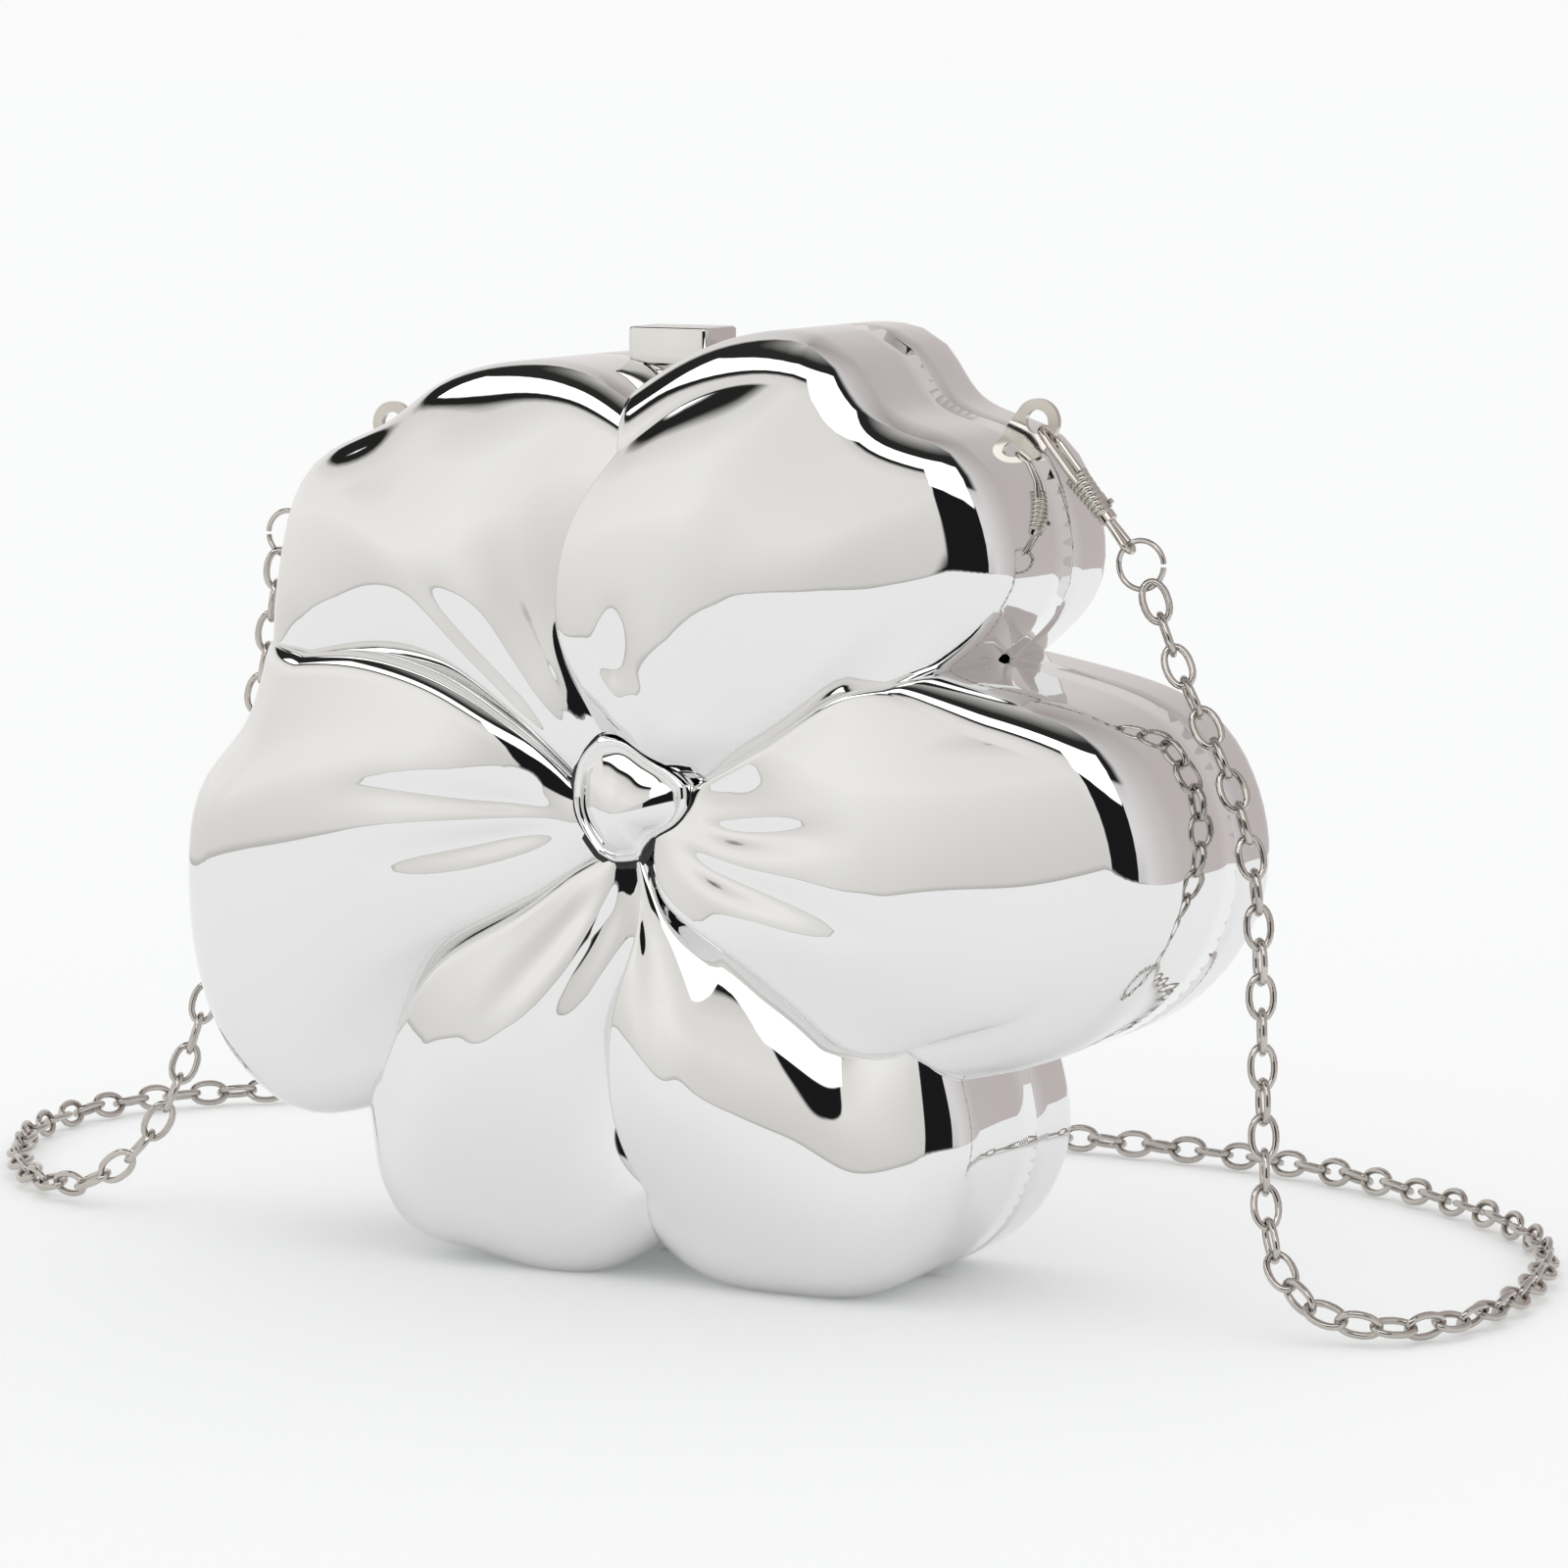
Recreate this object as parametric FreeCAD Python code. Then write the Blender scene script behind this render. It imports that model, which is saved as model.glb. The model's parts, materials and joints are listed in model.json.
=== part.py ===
import FreeCAD
import Part
import math
import os

os.makedirs("parts", exist_ok=True)

Vec = FreeCAD.Vector

# Flower-shaped hard clutch on a chain strap. Millimetres, +Z up, front towards -Y.
# The origin is under the middle of the bag, on the surface that it stands on.

# ---- driving dimensions ----
front_depth = 30.0          # front half, from its face to the seam
back_depth = 18.0           # back half, from the seam to its face
shell_wall = 2.0
notch_share = 1.25          # how much further an inset moves at the notches between petals
front_edge_radius = 8.0     # rounding between the front face and the side wall
back_edge_radius = 6.0
liner_wall = 1.0
lip_reach = 3.0             # how far the alignment lip enters the front half
lip_wall = 1.0
lip_clearance = 0.3
seam_clearance = 0.1        # gap between the two halves when closed
open_angle = 60.0           # how far the front half opens, degrees

hinge_width = 20.0
hinge_axis_height = 1.7
hinge_barrel_radius = 1.5
hinge_pin_radius = 0.75
hinge_leaf_thickness = 0.8
hinge_leaf_reach = 11.0     # from the axis to the leaf's far edge
rivet_radius = 0.9
running_clearance = 0.05
knuckle_gap = 0.2

lock_width = 15.2
lock_depth = 10.4
lock_height = 6.0
lock_seat_height = 149.8    # top of the flat pads that carry the lock
lock_middle_x = -9.4
lock_plate = 0.6
lock_gap = 0.4
lock_pin_radius = 0.6

lug_thickness = 1.2
lug_radius = 3.8
lug_hole_radius = 2.0
lug_foot_depth = 8.0

hook_wire_radius = 0.65
hook_half_gap = 1.9         # from the clasp's centre line to each bar's centre line
hook_bar_end = 9.6          # distances along the clasp from its bend
grip_end = 17.6
collar_end = 19.2
eye_end = 25.1
eye_half = 1.45
grip_width = 4.2
grip_thickness = 3.4
rib_count = 8
grip_inner = -0.05           # the grip's face towards the gate, from the clasp's centre line
gate_rivet_radius = 0.45
gate_spring_length = 0.7
gate_clearance = 0.15

ring_radius = 4.0           # jump ring, to the middle of its wire
ring_wire_radius = 0.5

chain_diameter = 5.0        # width of the cable chain's links

seam_y = (front_depth - back_depth) / 2
front_y = seam_y - front_depth
back_y = seam_y + back_depth
seam_front_y = seam_y - seam_clearance / 2
seam_back_y = seam_y + seam_clearance / 2

# Each petal's outline from notch to notch, clockwise from the upper left, as (x, z).
petal_points = [
    [(-75.5, 103.5), (-73.5, 118), (-66.5, 134.0), (-53, 140.8), (-43.5, 147.2),
     (-28, 151.6), (-12, 150.2), (-6, 147.2)],
    [(-6, 147.2), (4, 153.2), (17, 157.3), (33, 154.6), (39.5, 146.3),
     (54, 140.2), (60.8, 130), (61.5, 115), (51.5, 104)],
    [(51.5, 104), (68, 100.8), (82, 94.8), (90.3, 81.5), (91.6, 69), (86.3, 55.3),
     (73, 43.6), (54.5, 37.8)],
    [(54.5, 37.8), (56.8, 26), (50, 9), (34, 0.2), (25, -0.3), (15, 0.0), (5, 2.6), (-1, 6.5)],
    [(-1, 6.5), (-12, 0.6), (-24, -0.3), (-36, 1.8), (-47, 4.0), (-54, 13), (-56, 24.8)],
    [(-56, 24.8), (-69, 22.6), (-82, 30), (-90, 46), (-91.7, 62), (-88, 80),
     (-80.5, 89), (-75.5, 103.5)],
]

# Strap route from the right ring to the left ring: its points are chosen one by one.
strap_route = [
    (76.3, 6, 116.4), (81.5, 5, 103.0), (90.5, 2.5, 90.0), (97.2, 0.5, 74.0),
    (99.0, -1, 54.0), (100.0, -2.5, 39.5), (101.2, -4.5, 27.0), (103.2, -7.8, 15.5),
    (108.5, -12, 7.5), (117.5, -14.8, 3.8), (127.0, -11, 2.8), (133.0, -1.0, 2.8),
    (135.3, 12.5, 2.8), (134.3, 31, 2.8),
    (128.5, 55, 2.8), (117.0, 74, 2.8), (100.5, 90, 2.8), (82.0, 102.0, 2.8),
    (62.0, 112, 2.8), (39.0, 117.5, 2.8), (10.0, 119.0, 2.8), (-22.0, 123.0, 2.8),
    (-58.0, 124.0, 2.8), (-92.0, 119.5, 2.8), (-124.0, 110.0, 2.8), (-149.5, 95.0, 2.8),
    (-163.5, 77.5, 2.8), (-168.0, 58.0, 2.8), (-164.0, 38.5, 2.8), (-154.5, 20.0, 2.8),
    (-142.5, 4.0, 2.8), (-131.5, -4.5, 2.8), (-119.5, -7.5, 4.2), (-109.5, -4.5, 12.5),
    (-104.5, 0.0, 26.5), (-101.0, 4.0, 44.0), (-98.0, 6, 64.0), (-94.8, 6, 83.0),
    (-90.4, 6, 101.0), (-88.3, 6, 115.3),
]


def box(x0, x1, y0, y1, z0, z1):
    return Part.makeBox(x1 - x0, y1 - y0, z1 - z0, Vec(x0, y0, z0))


def cut_each(shape, tools):
    for tool in tools:
        shape = shape.cut(tool)
    return shape


def rod(start, end, radius):
    along = end - start
    return Part.makeCylinder(radius, along.Length, start, along)


def petal_curve(points):
    curve = Part.BSplineCurve()
    curve.interpolate([Vec(x, 0, z) for x, z in points])
    return curve


def inward(curve, parameter):
    """The direction into the flower, square to a petal's outline."""
    along = curve.tangent(parameter)[0]
    return Vec(along.z, 0, -along.x)


def outline_face(inset, y):
    """The flower outline at depth y, with every petal moved inwards by inset."""
    curves = [petal_curve(points) for points in petal_points]
    notches = []
    for before, after in zip(curves[-1:] + curves[:-1], curves):
        way_in = (inward(before, before.LastParameter) + inward(after, after.FirstParameter)).normalize()
        notches.append(after.StartPoint + way_in * inset * notch_share)
    edges = []
    for index, curve in enumerate(curves):
        inner = [notches[index]]
        for x, z in petal_points[index][1:-1]:
            point = Vec(x, 0, z)
            inner.append(point + inward(curve, curve.parameter(point)) * inset)
        inner.append(notches[(index + 1) % len(curves)])
        moved = petal_curve([(point.x, point.z) for point in inner])
        edges.append(moved.toShape())
    face = Part.Face(Part.Wire(edges))
    face.translate(Vec(0, y, 0))
    return face


def slab(inset, y0, y1):
    return outline_face(inset, y0).extrude(Vec(0, y1 - y0, 0))


def rounded_slab(y_face, y_seam, radius):
    """A plain half of the flower with its outer edge rounded."""
    body = slab(0, y_face, y_seam)
    rim = [edge for edge in body.Edges
           if all(abs(vertex.Point.y - y_face) < 1e-6 for vertex in edge.Vertexes)]
    return body.makeFillet(radius, rim)


def stepped_hollow(y_face, y_seam, radius, wall):
    """The space inside a half, in steps that keep the wall behind the rounded edge."""
    towards_seam = 1 if y_seam > y_face else -1
    inner = radius - wall
    hollow = None
    for share in (1.0, 0.65, 0.0):
        inset = radius - inner * share
        rise = math.sqrt(max(inner ** 2 - (radius - inset) ** 2, 0)) * 0.96
        y_start = y_face + towards_seam * (radius - rise)
        step = slab(inset, min(y_start, y_seam), max(y_start, y_seam))
        hollow = step if hollow is None else hollow.fuse(step)
    return hollow


# ---- hinges along the bottom of the two lower petals ----
hinge_middles = (-24.0, 26.0)
leaf_floor = 4.0            # top of the pads that the leaves are riveted to
pad_floor = 0.8
pad_margin = 1.0            # how far a pad reaches past its leaf
barrel_clearance = 0.35     # between a barrel and the shells
leaf_clearance = 0.2        # between a leaf and the shell round it
relief_margin = 0.4         # how far the room for a hinge reaches past its ends
leaf_setback = 0.5          # from the barrel to the leaf's near edge
groove_margin = 5.0         # degrees past half the opening angle, each side
groove_half_length = 70.0
rivet_offset = 6.0          # rivets each side of a hinge's middle
rivet_inset = 3.5           # from the leaf's far edge
rivet_floor = 1.6           # bottom of the rivets
rivet_head_height = 0.7
rivet_head_share = 1.9      # head radius over stem radius


def hinge_pads(side):
    """Solid pads inside a half, side -1 for the front half and 1 for the back half."""
    pads = []
    for middle in hinge_middles:
        half = hinge_width / 2 + pad_margin
        ends = sorted((seam_y + side * seam_clearance / 2,
                       seam_y + side * (hinge_leaf_reach + pad_margin)))
        pads.append(box(middle - half, middle + half, ends[0], ends[1], pad_floor, leaf_floor))
    return pads


def hinge_reliefs():
    """Room for the barrels and leaves, and a V groove that lets the halves turn past each other."""
    cuts = []
    barrel_room = hinge_barrel_radius + barrel_clearance
    leaf_room = hinge_leaf_reach + leaf_clearance
    leaf_ceiling = leaf_floor + hinge_leaf_thickness + rivet_head_height + leaf_clearance
    for middle in hinge_middles:
        half = hinge_width / 2 + relief_margin
        axis_start = Vec(middle - half, seam_y, hinge_axis_height)
        cuts.append(Part.makeCylinder(barrel_room, 2 * half, axis_start, Vec(1, 0, 0)))
        cuts.append(box(middle - half, middle + half, seam_y - barrel_room, seam_y + barrel_room,
                        hinge_axis_height, leaf_floor + 2))
        cuts.append(box(middle - half, middle + half, seam_y - leaf_room, seam_y + leaf_room,
                        leaf_floor, leaf_ceiling))
        cuts.append(box(middle - half, middle + half, seam_y - barrel_room, seam_y + barrel_room,
                        -1, hinge_axis_height))
    groove_top = hinge_axis_height + barrel_clearance
    groove_depth = groove_top + 1
    groove_half = groove_depth * math.tan(math.radians(open_angle / 2 + groove_margin))
    corners = [Vec(-groove_half_length, seam_y - groove_half, groove_top - groove_depth),
               Vec(-groove_half_length, seam_y + groove_half, groove_top - groove_depth),
               Vec(-groove_half_length, seam_y, groove_top)]
    outline = Part.makePolygon(corners + corners[:1])
    groove = Part.Face(outline).extrude(Vec(2 * groove_half_length, 0, 0))
    cuts.append(groove)
    return cuts


def knuckle_spans(middle, side):
    """The back leaf has the two outer knuckles and the front leaf the middle one."""
    third = hinge_width / 3
    start = middle - hinge_width / 2
    if side > 0:
        return [(start, start + third - knuckle_gap),
                (start + 2 * third + knuckle_gap, start + hinge_width)]
    return [(start + third, start + 2 * third)]


def hinge_leaf(middle, side):
    half = hinge_width / 2
    top = leaf_floor + hinge_leaf_thickness
    near = seam_y + side * (hinge_barrel_radius + leaf_setback)
    far = seam_y + side * hinge_leaf_reach
    leaf = box(middle - half, middle + half, min(near, far), max(near, far), leaf_floor, top)
    for x0, x1 in knuckle_spans(middle, side):
        start = Vec(x0, seam_y, hinge_axis_height)
        barrel = Part.makeCylinder(hinge_barrel_radius, x1 - x0, start, Vec(1, 0, 0))
        web_inner = seam_y + side * (hinge_barrel_radius - hinge_leaf_thickness)
        web_outer = seam_y + side * (hinge_barrel_radius + 0.1)
        web = box(x0, x1, min(web_inner, web_outer), max(web_inner, web_outer),
                  hinge_axis_height, top)
        link = box(x0, x1, min(web_inner, near), max(web_inner, near), leaf_floor, top)
        leaf = leaf.fuse([barrel, web, link])
    bore_radius = hinge_pin_radius + (running_clearance if side < 0 else 0)
    bore_start = Vec(middle - half - 1, seam_y, hinge_axis_height)
    leaf = leaf.cut(Part.makeCylinder(bore_radius, hinge_width + 2, bore_start, Vec(1, 0, 0)))
    for x in (middle - rivet_offset, middle + rivet_offset):
        hole_y = seam_y + side * (hinge_leaf_reach - rivet_inset)
        leaf = leaf.cut(Part.makeCylinder(rivet_radius, 4, Vec(x, hole_y, leaf_floor - 1)))
    return leaf.removeSplitter()


def hinge_pin(middle):
    start = Vec(middle - hinge_width / 2, seam_y, hinge_axis_height)
    return Part.makeCylinder(hinge_pin_radius, hinge_width, start, Vec(1, 0, 0))


def rivet_stems(side):
    """The holes that the rivets fill, down into the pads."""
    stems = []
    for middle in hinge_middles:
        for x in (middle - rivet_offset, middle + rivet_offset):
            y = seam_y + side * (hinge_leaf_reach - rivet_inset)
            length = leaf_floor + hinge_leaf_thickness - rivet_floor
            stems.append(Part.makeCylinder(rivet_radius, length, Vec(x, y, rivet_floor)))
    return stems


def hinge_rivets(side):
    rivets = []
    for stem in rivet_stems(side):
        head_centre = stem.BoundBox.Center
        head_base = Vec(head_centre.x, head_centre.y, leaf_floor + hinge_leaf_thickness)
        head = Part.makeCone(rivet_radius * rivet_head_share, rivet_radius, rivet_head_height, head_base)
        rivets.append(stem.fuse(head))
    return Part.makeCompound(rivets)


# ---- lock on top of the seam ----
lock_x0 = lock_middle_x - lock_width / 2
lock_x1 = lock_middle_x + lock_width / 2
lock_y0 = seam_y - lock_depth / 2
lock_y1 = seam_y + lock_depth / 2
lever_floor = lock_seat_height + lock_plate + lock_gap
lever_top = lever_floor + lock_height
lock_axis_y = lock_y1 - 1.9
lock_axis_z = lever_floor + 1.8
lug_half = 1.2              # half the width and depth of the base's bearing lug
spring_length = 2.0
spring_radius = 1.15
spring_clearance = 0.15
slot_half = lug_half + spring_length + 0.5
lock_screw_offset = 5.6     # screws each side of the lock's middle
lock_screw_y = 2.9          # and each side of the seam
lock_screw_radius = 0.6
lock_screw_head = 1.1
lock_screw_length = 3.4
pad_side = 0.8              # how far a pad reaches past the lock, sideways and in depth
pad_end = 1.2
pad_height = 4.2
lock_room_height = 12.0     # clear space over the pads
plate_setback = 0.3         # from each plate to the seam
lever_corner = 0.8
lever_wall = 1.2
lever_top_wall = 1.4
heel_radius = 1.75          # rounding of the lever about its pin
heel_setback = 2.0          # how far the lever's hollows keep from the pin


def lock_pad(side):
    ends = sorted((seam_y + side * seam_clearance / 2, seam_y + side * (lock_depth / 2 + pad_end)))
    return box(lock_x0 - pad_side, lock_x1 + pad_side, ends[0], ends[1],
               lock_seat_height - pad_height, lock_seat_height)


def lock_headroom():
    return box(lock_x0 - pad_side, lock_x1 + pad_side, lock_y0 - pad_end, lock_y1 + pad_end,
               lock_seat_height, lock_seat_height + lock_room_height)


def lock_base():
    plate = box(lock_x0, lock_x1, seam_back_y + plate_setback, lock_y1 + pad_side,
                lock_seat_height, lock_seat_height + lock_plate)
    ear = box(lock_middle_x - lug_half, lock_middle_x + lug_half, lock_axis_y - lug_half,
              lock_axis_y + lug_half, lock_seat_height, lock_axis_z)
    ear_top = Part.makeCylinder(lug_half, 2 * lug_half,
                                Vec(lock_middle_x - lug_half, lock_axis_y, lock_axis_z),
                                Vec(1, 0, 0))
    base = plate.fuse([ear, ear_top]).cut(lock_pin())
    return base.cut(lock_screws(1)).removeSplitter()


def lock_pin():
    start = Vec(lock_x0 + lever_wall, lock_axis_y, lock_axis_z)
    return Part.makeCylinder(lock_pin_radius, lock_width - 2 * lever_wall, start, Vec(1, 0, 0))


def lock_screws(side):
    """Countersunk screws, side 1 through the lock base and -1 through the strike plate."""
    y = seam_y + side * lock_screw_y
    plate_top = lock_seat_height + lock_plate
    screws = []
    for x in (lock_middle_x - lock_screw_offset, lock_middle_x + lock_screw_offset):
        stem_start = Vec(x, y, plate_top - lock_screw_length)
        stem = Part.makeCylinder(lock_screw_radius, lock_screw_length, stem_start)
        head = Part.makeCone(lock_screw_radius, lock_screw_head, lock_plate, Vec(x, y, lock_seat_height))
        screws.append(stem.fuse(head))
    return Part.makeCompound(screws)


def strike_plate():
    plate = box(lock_x0, lock_x1, lock_y0 + 0.2, seam_front_y - plate_setback,
                lock_seat_height, lock_seat_height + lock_plate)
    return plate.cut(lock_screws(-1))


def lock_spring():
    """Return spring, wound round the pin beside the bearing lug."""
    start = Vec(lock_middle_x + lug_half + spring_clearance, lock_axis_y, lock_axis_z)
    outer = Part.makeCylinder(spring_radius, spring_length - spring_clearance, start, Vec(1, 0, 0))
    return outer.cut(lock_pin())


def lock_lever():
    block = box(lock_x0, lock_x1, lock_y0, lock_y1, lever_floor, lever_top)
    rounded = [edge for edge in block.Edges if edge.BoundBox.XLength < 1e-6]
    block = block.makeFillet(lever_corner, rounded)
    heel = box(lock_x0 - 1, lock_x1 + 1, lock_axis_y, lock_y1 + 1, lever_floor - 1, lock_axis_z)
    heel_start = Vec(lock_x0 - 1, lock_axis_y, lock_axis_z)
    heel_round = Part.makeCylinder(heel_radius, lock_width + 2, heel_start, Vec(1, 0, 0))
    block = block.cut(heel.cut(heel_round))
    slot = box(lock_middle_x - slot_half, lock_middle_x + slot_half, lock_axis_y - heel_setback,
               lock_y1 + 1, lever_floor - 1, lock_axis_z + heel_setback)
    under = box(lock_x0 + lever_wall, lock_x1 - lever_wall, lock_y0 + lever_wall,
                lock_axis_y - heel_setback, lever_floor - 1, lever_top - lever_top_wall)
    bore_inset = lever_wall - 0.1
    bore = Part.makeCylinder(lock_pin_radius + running_clearance, lock_width - 2 * bore_inset,
                             Vec(lock_x0 + bore_inset, lock_axis_y, lock_axis_z), Vec(1, 0, 0))
    return block.cut([slot, under, bore]).removeSplitter()


# ---- strap lugs, clasps and rings ----
# Each side: the lug's hole, the way that it leans out of the bag, and the ring's centre.
strap_sides = {
    "right": {"hole": Vec(55.8, 0, 142.6), "lean": Vec(0.60, 0, 0.80), "ring": Vec(74.2, 0, 120.0)},
    "left": {"hole": Vec(-65.6, 0, 138.9), "lean": Vec(-0.60, 0, 0.80), "ring": Vec(-87.0, 0, 119.2)},
}
lug_front_y = seam_back_y + 0.05
clasp_y = lug_front_y + lug_thickness / 2
lug_neck = 5.6              # from the hole's centre to the top of the foot
lug_screw_radius = 0.9
lug_screw_length = 3.0
lug_screw_head = (1.6, 0.9)  # radius and height
lug_screw_inset = 2.5       # from the foot's far end


def lug_frame(side):
    """A placement whose local Z leans out of the bag, with the hole's centre at its origin."""
    spec = strap_sides[side]
    lean = spec["lean"]
    turn = FreeCAD.Rotation(Vec(0, 0, 1), Vec(lean.x, lean.y, lean.z))
    return FreeCAD.Placement(Vec(spec["hole"].x, clasp_y, spec["hole"].z), turn)


def strap_lug(side):
    half = lug_thickness / 2
    disc = Part.makeCylinder(lug_radius, lug_thickness, Vec(0, -half, 0), Vec(0, 1, 0))
    neck = box(-lug_radius, lug_radius, -half, half, -lug_neck, 0)
    foot = box(-lug_radius, lug_radius, -half, lug_foot_depth, -lug_neck - lug_thickness, -lug_neck)
    hole = Part.makeCylinder(lug_hole_radius, 4, Vec(0, -2, 0), Vec(0, 1, 0))
    screw_y = lug_foot_depth - lug_screw_inset
    screw_hole = Part.makeCylinder(lug_screw_radius, 4, Vec(0, screw_y, -lug_neck - 2))
    lug = disc.fuse([neck, foot]).cut([hole, screw_hole]).removeSplitter()
    lug.Placement = lug_frame(side)
    return lug


def lug_screw(side):
    y = lug_foot_depth - lug_screw_inset
    under = -lug_neck - lug_thickness
    head_radius, head_height = lug_screw_head
    stem = Part.makeCylinder(lug_screw_radius, lug_screw_length, Vec(0, y, under))
    head = Part.makeCylinder(head_radius, head_height, Vec(0, y, under - head_height))
    screw = stem.fuse(head)
    screw.Placement = lug_frame(side)
    return screw


def lug_slot(side, margin):
    """Room for a lug's neck and foot in the wall and the lip."""
    half = lug_thickness / 2
    neck = box(-lug_radius - margin, lug_radius + margin, -half - 1, half + margin, -lug_neck - 3, 3)
    foot = box(-lug_radius - margin, lug_radius + margin, -half - 1, lug_foot_depth + margin,
               -lug_neck - 4, -lug_neck + margin)
    slot = neck.fuse(foot)
    slot.Placement = lug_frame(side)
    return slot


def lug_boss(side):
    """A boss inside the back wall that takes the lug's screw."""
    boss = box(-lug_radius, lug_radius, lug_thickness, lug_foot_depth + 1.5, -lug_neck, -1.0)
    boss.Placement = lug_frame(side)
    return boss


gate_pivot = Vec(0.9, 0, grip_end - 1.2)
cheek_wall = 0.6            # the two cheeks of the grip that hold the gate's rivet
cheek_outer = 1.7
cheek_length = 2.6
gate_half = grip_width / 2 - cheek_wall - gate_clearance
hook_tip = 1.2              # straight end of the hook past its bend
eye_neck_half = 0.75        # half the eye's width where it enters the collar
eye_sink = 0.6              # how far the eye's wire runs into the collar
heel_of_gate = 0.85         # radius
gate_pad = (1.5, 2.6)       # the thumb pad's inner and outer faces, across the clasp


def clasp_frame(side):
    """Local Z runs along the clasp from its bend to its eye, and local X is across the depth."""
    spec = strap_sides[side]
    hole = Vec(spec["hole"].x, clasp_y, spec["hole"].z)
    ring = Vec(spec["ring"].x, clasp_y, spec["ring"].z)
    along = (ring - hole).normalize()
    bend = hole + along * (lug_hole_radius - hook_wire_radius - 0.1)
    across = Vec(0, 1, 0)
    third = along.cross(across)
    matrix = FreeCAD.Matrix(across.x, third.x, along.x, bend.x,
                            across.y, third.y, along.y, bend.y,
                            across.z, third.z, along.z, bend.z,
                            0, 0, 0, 1)
    return FreeCAD.Placement(matrix)


def wire_sweep(points_wire, start, direction, radius):
    profile = Part.Wire(Part.makeCircle(radius, start, direction))
    return points_wire.makePipeShell([profile], True, True)


def clasp_body(side):
    """Hook, ribbed grip, collar and eye of one snap hook."""
    gap = hook_half_gap
    bend = Part.Arc(Vec(-gap, 0, gap), Vec(0, 0, 0), Vec(gap, 0, gap)).toShape()
    bar = Part.LineSegment(Vec(-gap, 0, hook_bar_end + 0.5), Vec(-gap, 0, gap)).toShape()
    tip = Part.LineSegment(Vec(gap, 0, gap), Vec(gap, 0, gap + hook_tip)).toShape()
    hook = wire_sweep(Part.Wire([bar, bend, tip]), Vec(-gap, 0, hook_bar_end + 0.5), Vec(0, 0, -1),
                      hook_wire_radius)
    grip = box(-grip_thickness / 2, grip_inner, -grip_width / 2, grip_width / 2, hook_bar_end, grip_end)
    pitch = (grip_end - hook_bar_end) / rib_count
    for index in range(rib_count):
        z = hook_bar_end + pitch * (index + 0.5)
        rib = Part.makeCylinder(pitch * 0.38, grip_width, Vec(-grip_thickness / 2, -grip_width / 2, z),
                                Vec(0, 1, 0))
        grip = grip.fuse(rib)
    collar = Part.makeCylinder(grip_thickness / 2, collar_end - grip_end, Vec(0, 0, grip_end))
    eye_start = collar_end - eye_sink
    eye_turn = eye_end - eye_half
    left = Part.LineSegment(Vec(-eye_neck_half, 0, eye_start), Vec(-eye_half, 0, eye_turn)).toShape()
    turn = Part.Arc(Vec(-eye_half, 0, eye_turn), Vec(0, 0, eye_end), Vec(eye_half, 0, eye_turn)).toShape()
    right = Part.LineSegment(Vec(eye_half, 0, eye_turn), Vec(eye_neck_half, 0, eye_start)).toShape()
    eye = wire_sweep(Part.Wire([left, turn, right]), Vec(-eye_neck_half, 0, eye_start),
                     Vec(eye_neck_half - eye_half, 0, eye_turn - eye_start), hook_wire_radius)
    body = hook.fuse([grip, collar, eye])
    pivot_start = Vec(gate_pivot.x, -grip_width / 2 - 1, gate_pivot.z)
    pivot_room = Part.makeCylinder(gate_rivet_radius, grip_width + 2, pivot_start, Vec(0, 1, 0))
    cheeks = [box(grip_inner, cheek_outer, min(near, far), max(near, far), grip_end - cheek_length, grip_end)
              for near, far in ((-grip_width / 2, cheek_wall - grip_width / 2),
                                (grip_width / 2, grip_width / 2 - cheek_wall))]
    body = body.fuse(cheeks).cut(pivot_room).removeSplitter()
    body.Placement = clasp_frame(side)
    return body


def gate_rivet(side):
    start = Vec(gate_pivot.x, -grip_width / 2, gate_pivot.z)
    rivet = Part.makeCylinder(gate_rivet_radius, grip_width, start, Vec(0, 1, 0))
    rivet.Placement = clasp_frame(side)
    return rivet


def clasp_gate(side):
    """The sprung bar that closes the hook, with its thumb pad beside the grip."""
    gap = hook_half_gap
    bar_start = Vec(gap, 0, gap + hook_tip + gate_clearance)
    bar = rod(bar_start, Vec(gap, 0, hook_bar_end + 0.6), hook_wire_radius)
    pad = box(gate_pad[0], gate_pad[1], -gate_half, gate_half, hook_bar_end, grip_end - 2.9)
    heel_length = 2 * gate_half - gate_spring_length - 0.05
    heel_start = Vec(gate_pivot.x, -gate_half, gate_pivot.z)
    heel = Part.makeCylinder(heel_of_gate, heel_length, heel_start, Vec(0, 1, 0))
    link = box(0.9, 2.2, -gate_half, heel_length - gate_half, grip_end - 3.2, gate_pivot.z)
    bore = Part.makeCylinder(gate_rivet_radius + running_clearance, grip_width,
                             Vec(gate_pivot.x, -grip_width / 2, gate_pivot.z), Vec(0, 1, 0))
    gate = bar.fuse([pad, heel, link]).cut(bore).removeSplitter()
    gate.Placement = clasp_frame(side)
    return gate


def gate_spring(side):
    """Torsion spring wound round the gate's rivet, beside its heel."""
    start = Vec(gate_pivot.x, gate_half - gate_spring_length, gate_pivot.z)
    spring = Part.makeCylinder(0.8, gate_spring_length, start, Vec(0, 1, 0))
    core = Part.makeCylinder(gate_rivet_radius, gate_spring_length, start, Vec(0, 1, 0))
    spring = spring.cut(core)
    spring.Placement = clasp_frame(side)
    return spring


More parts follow.
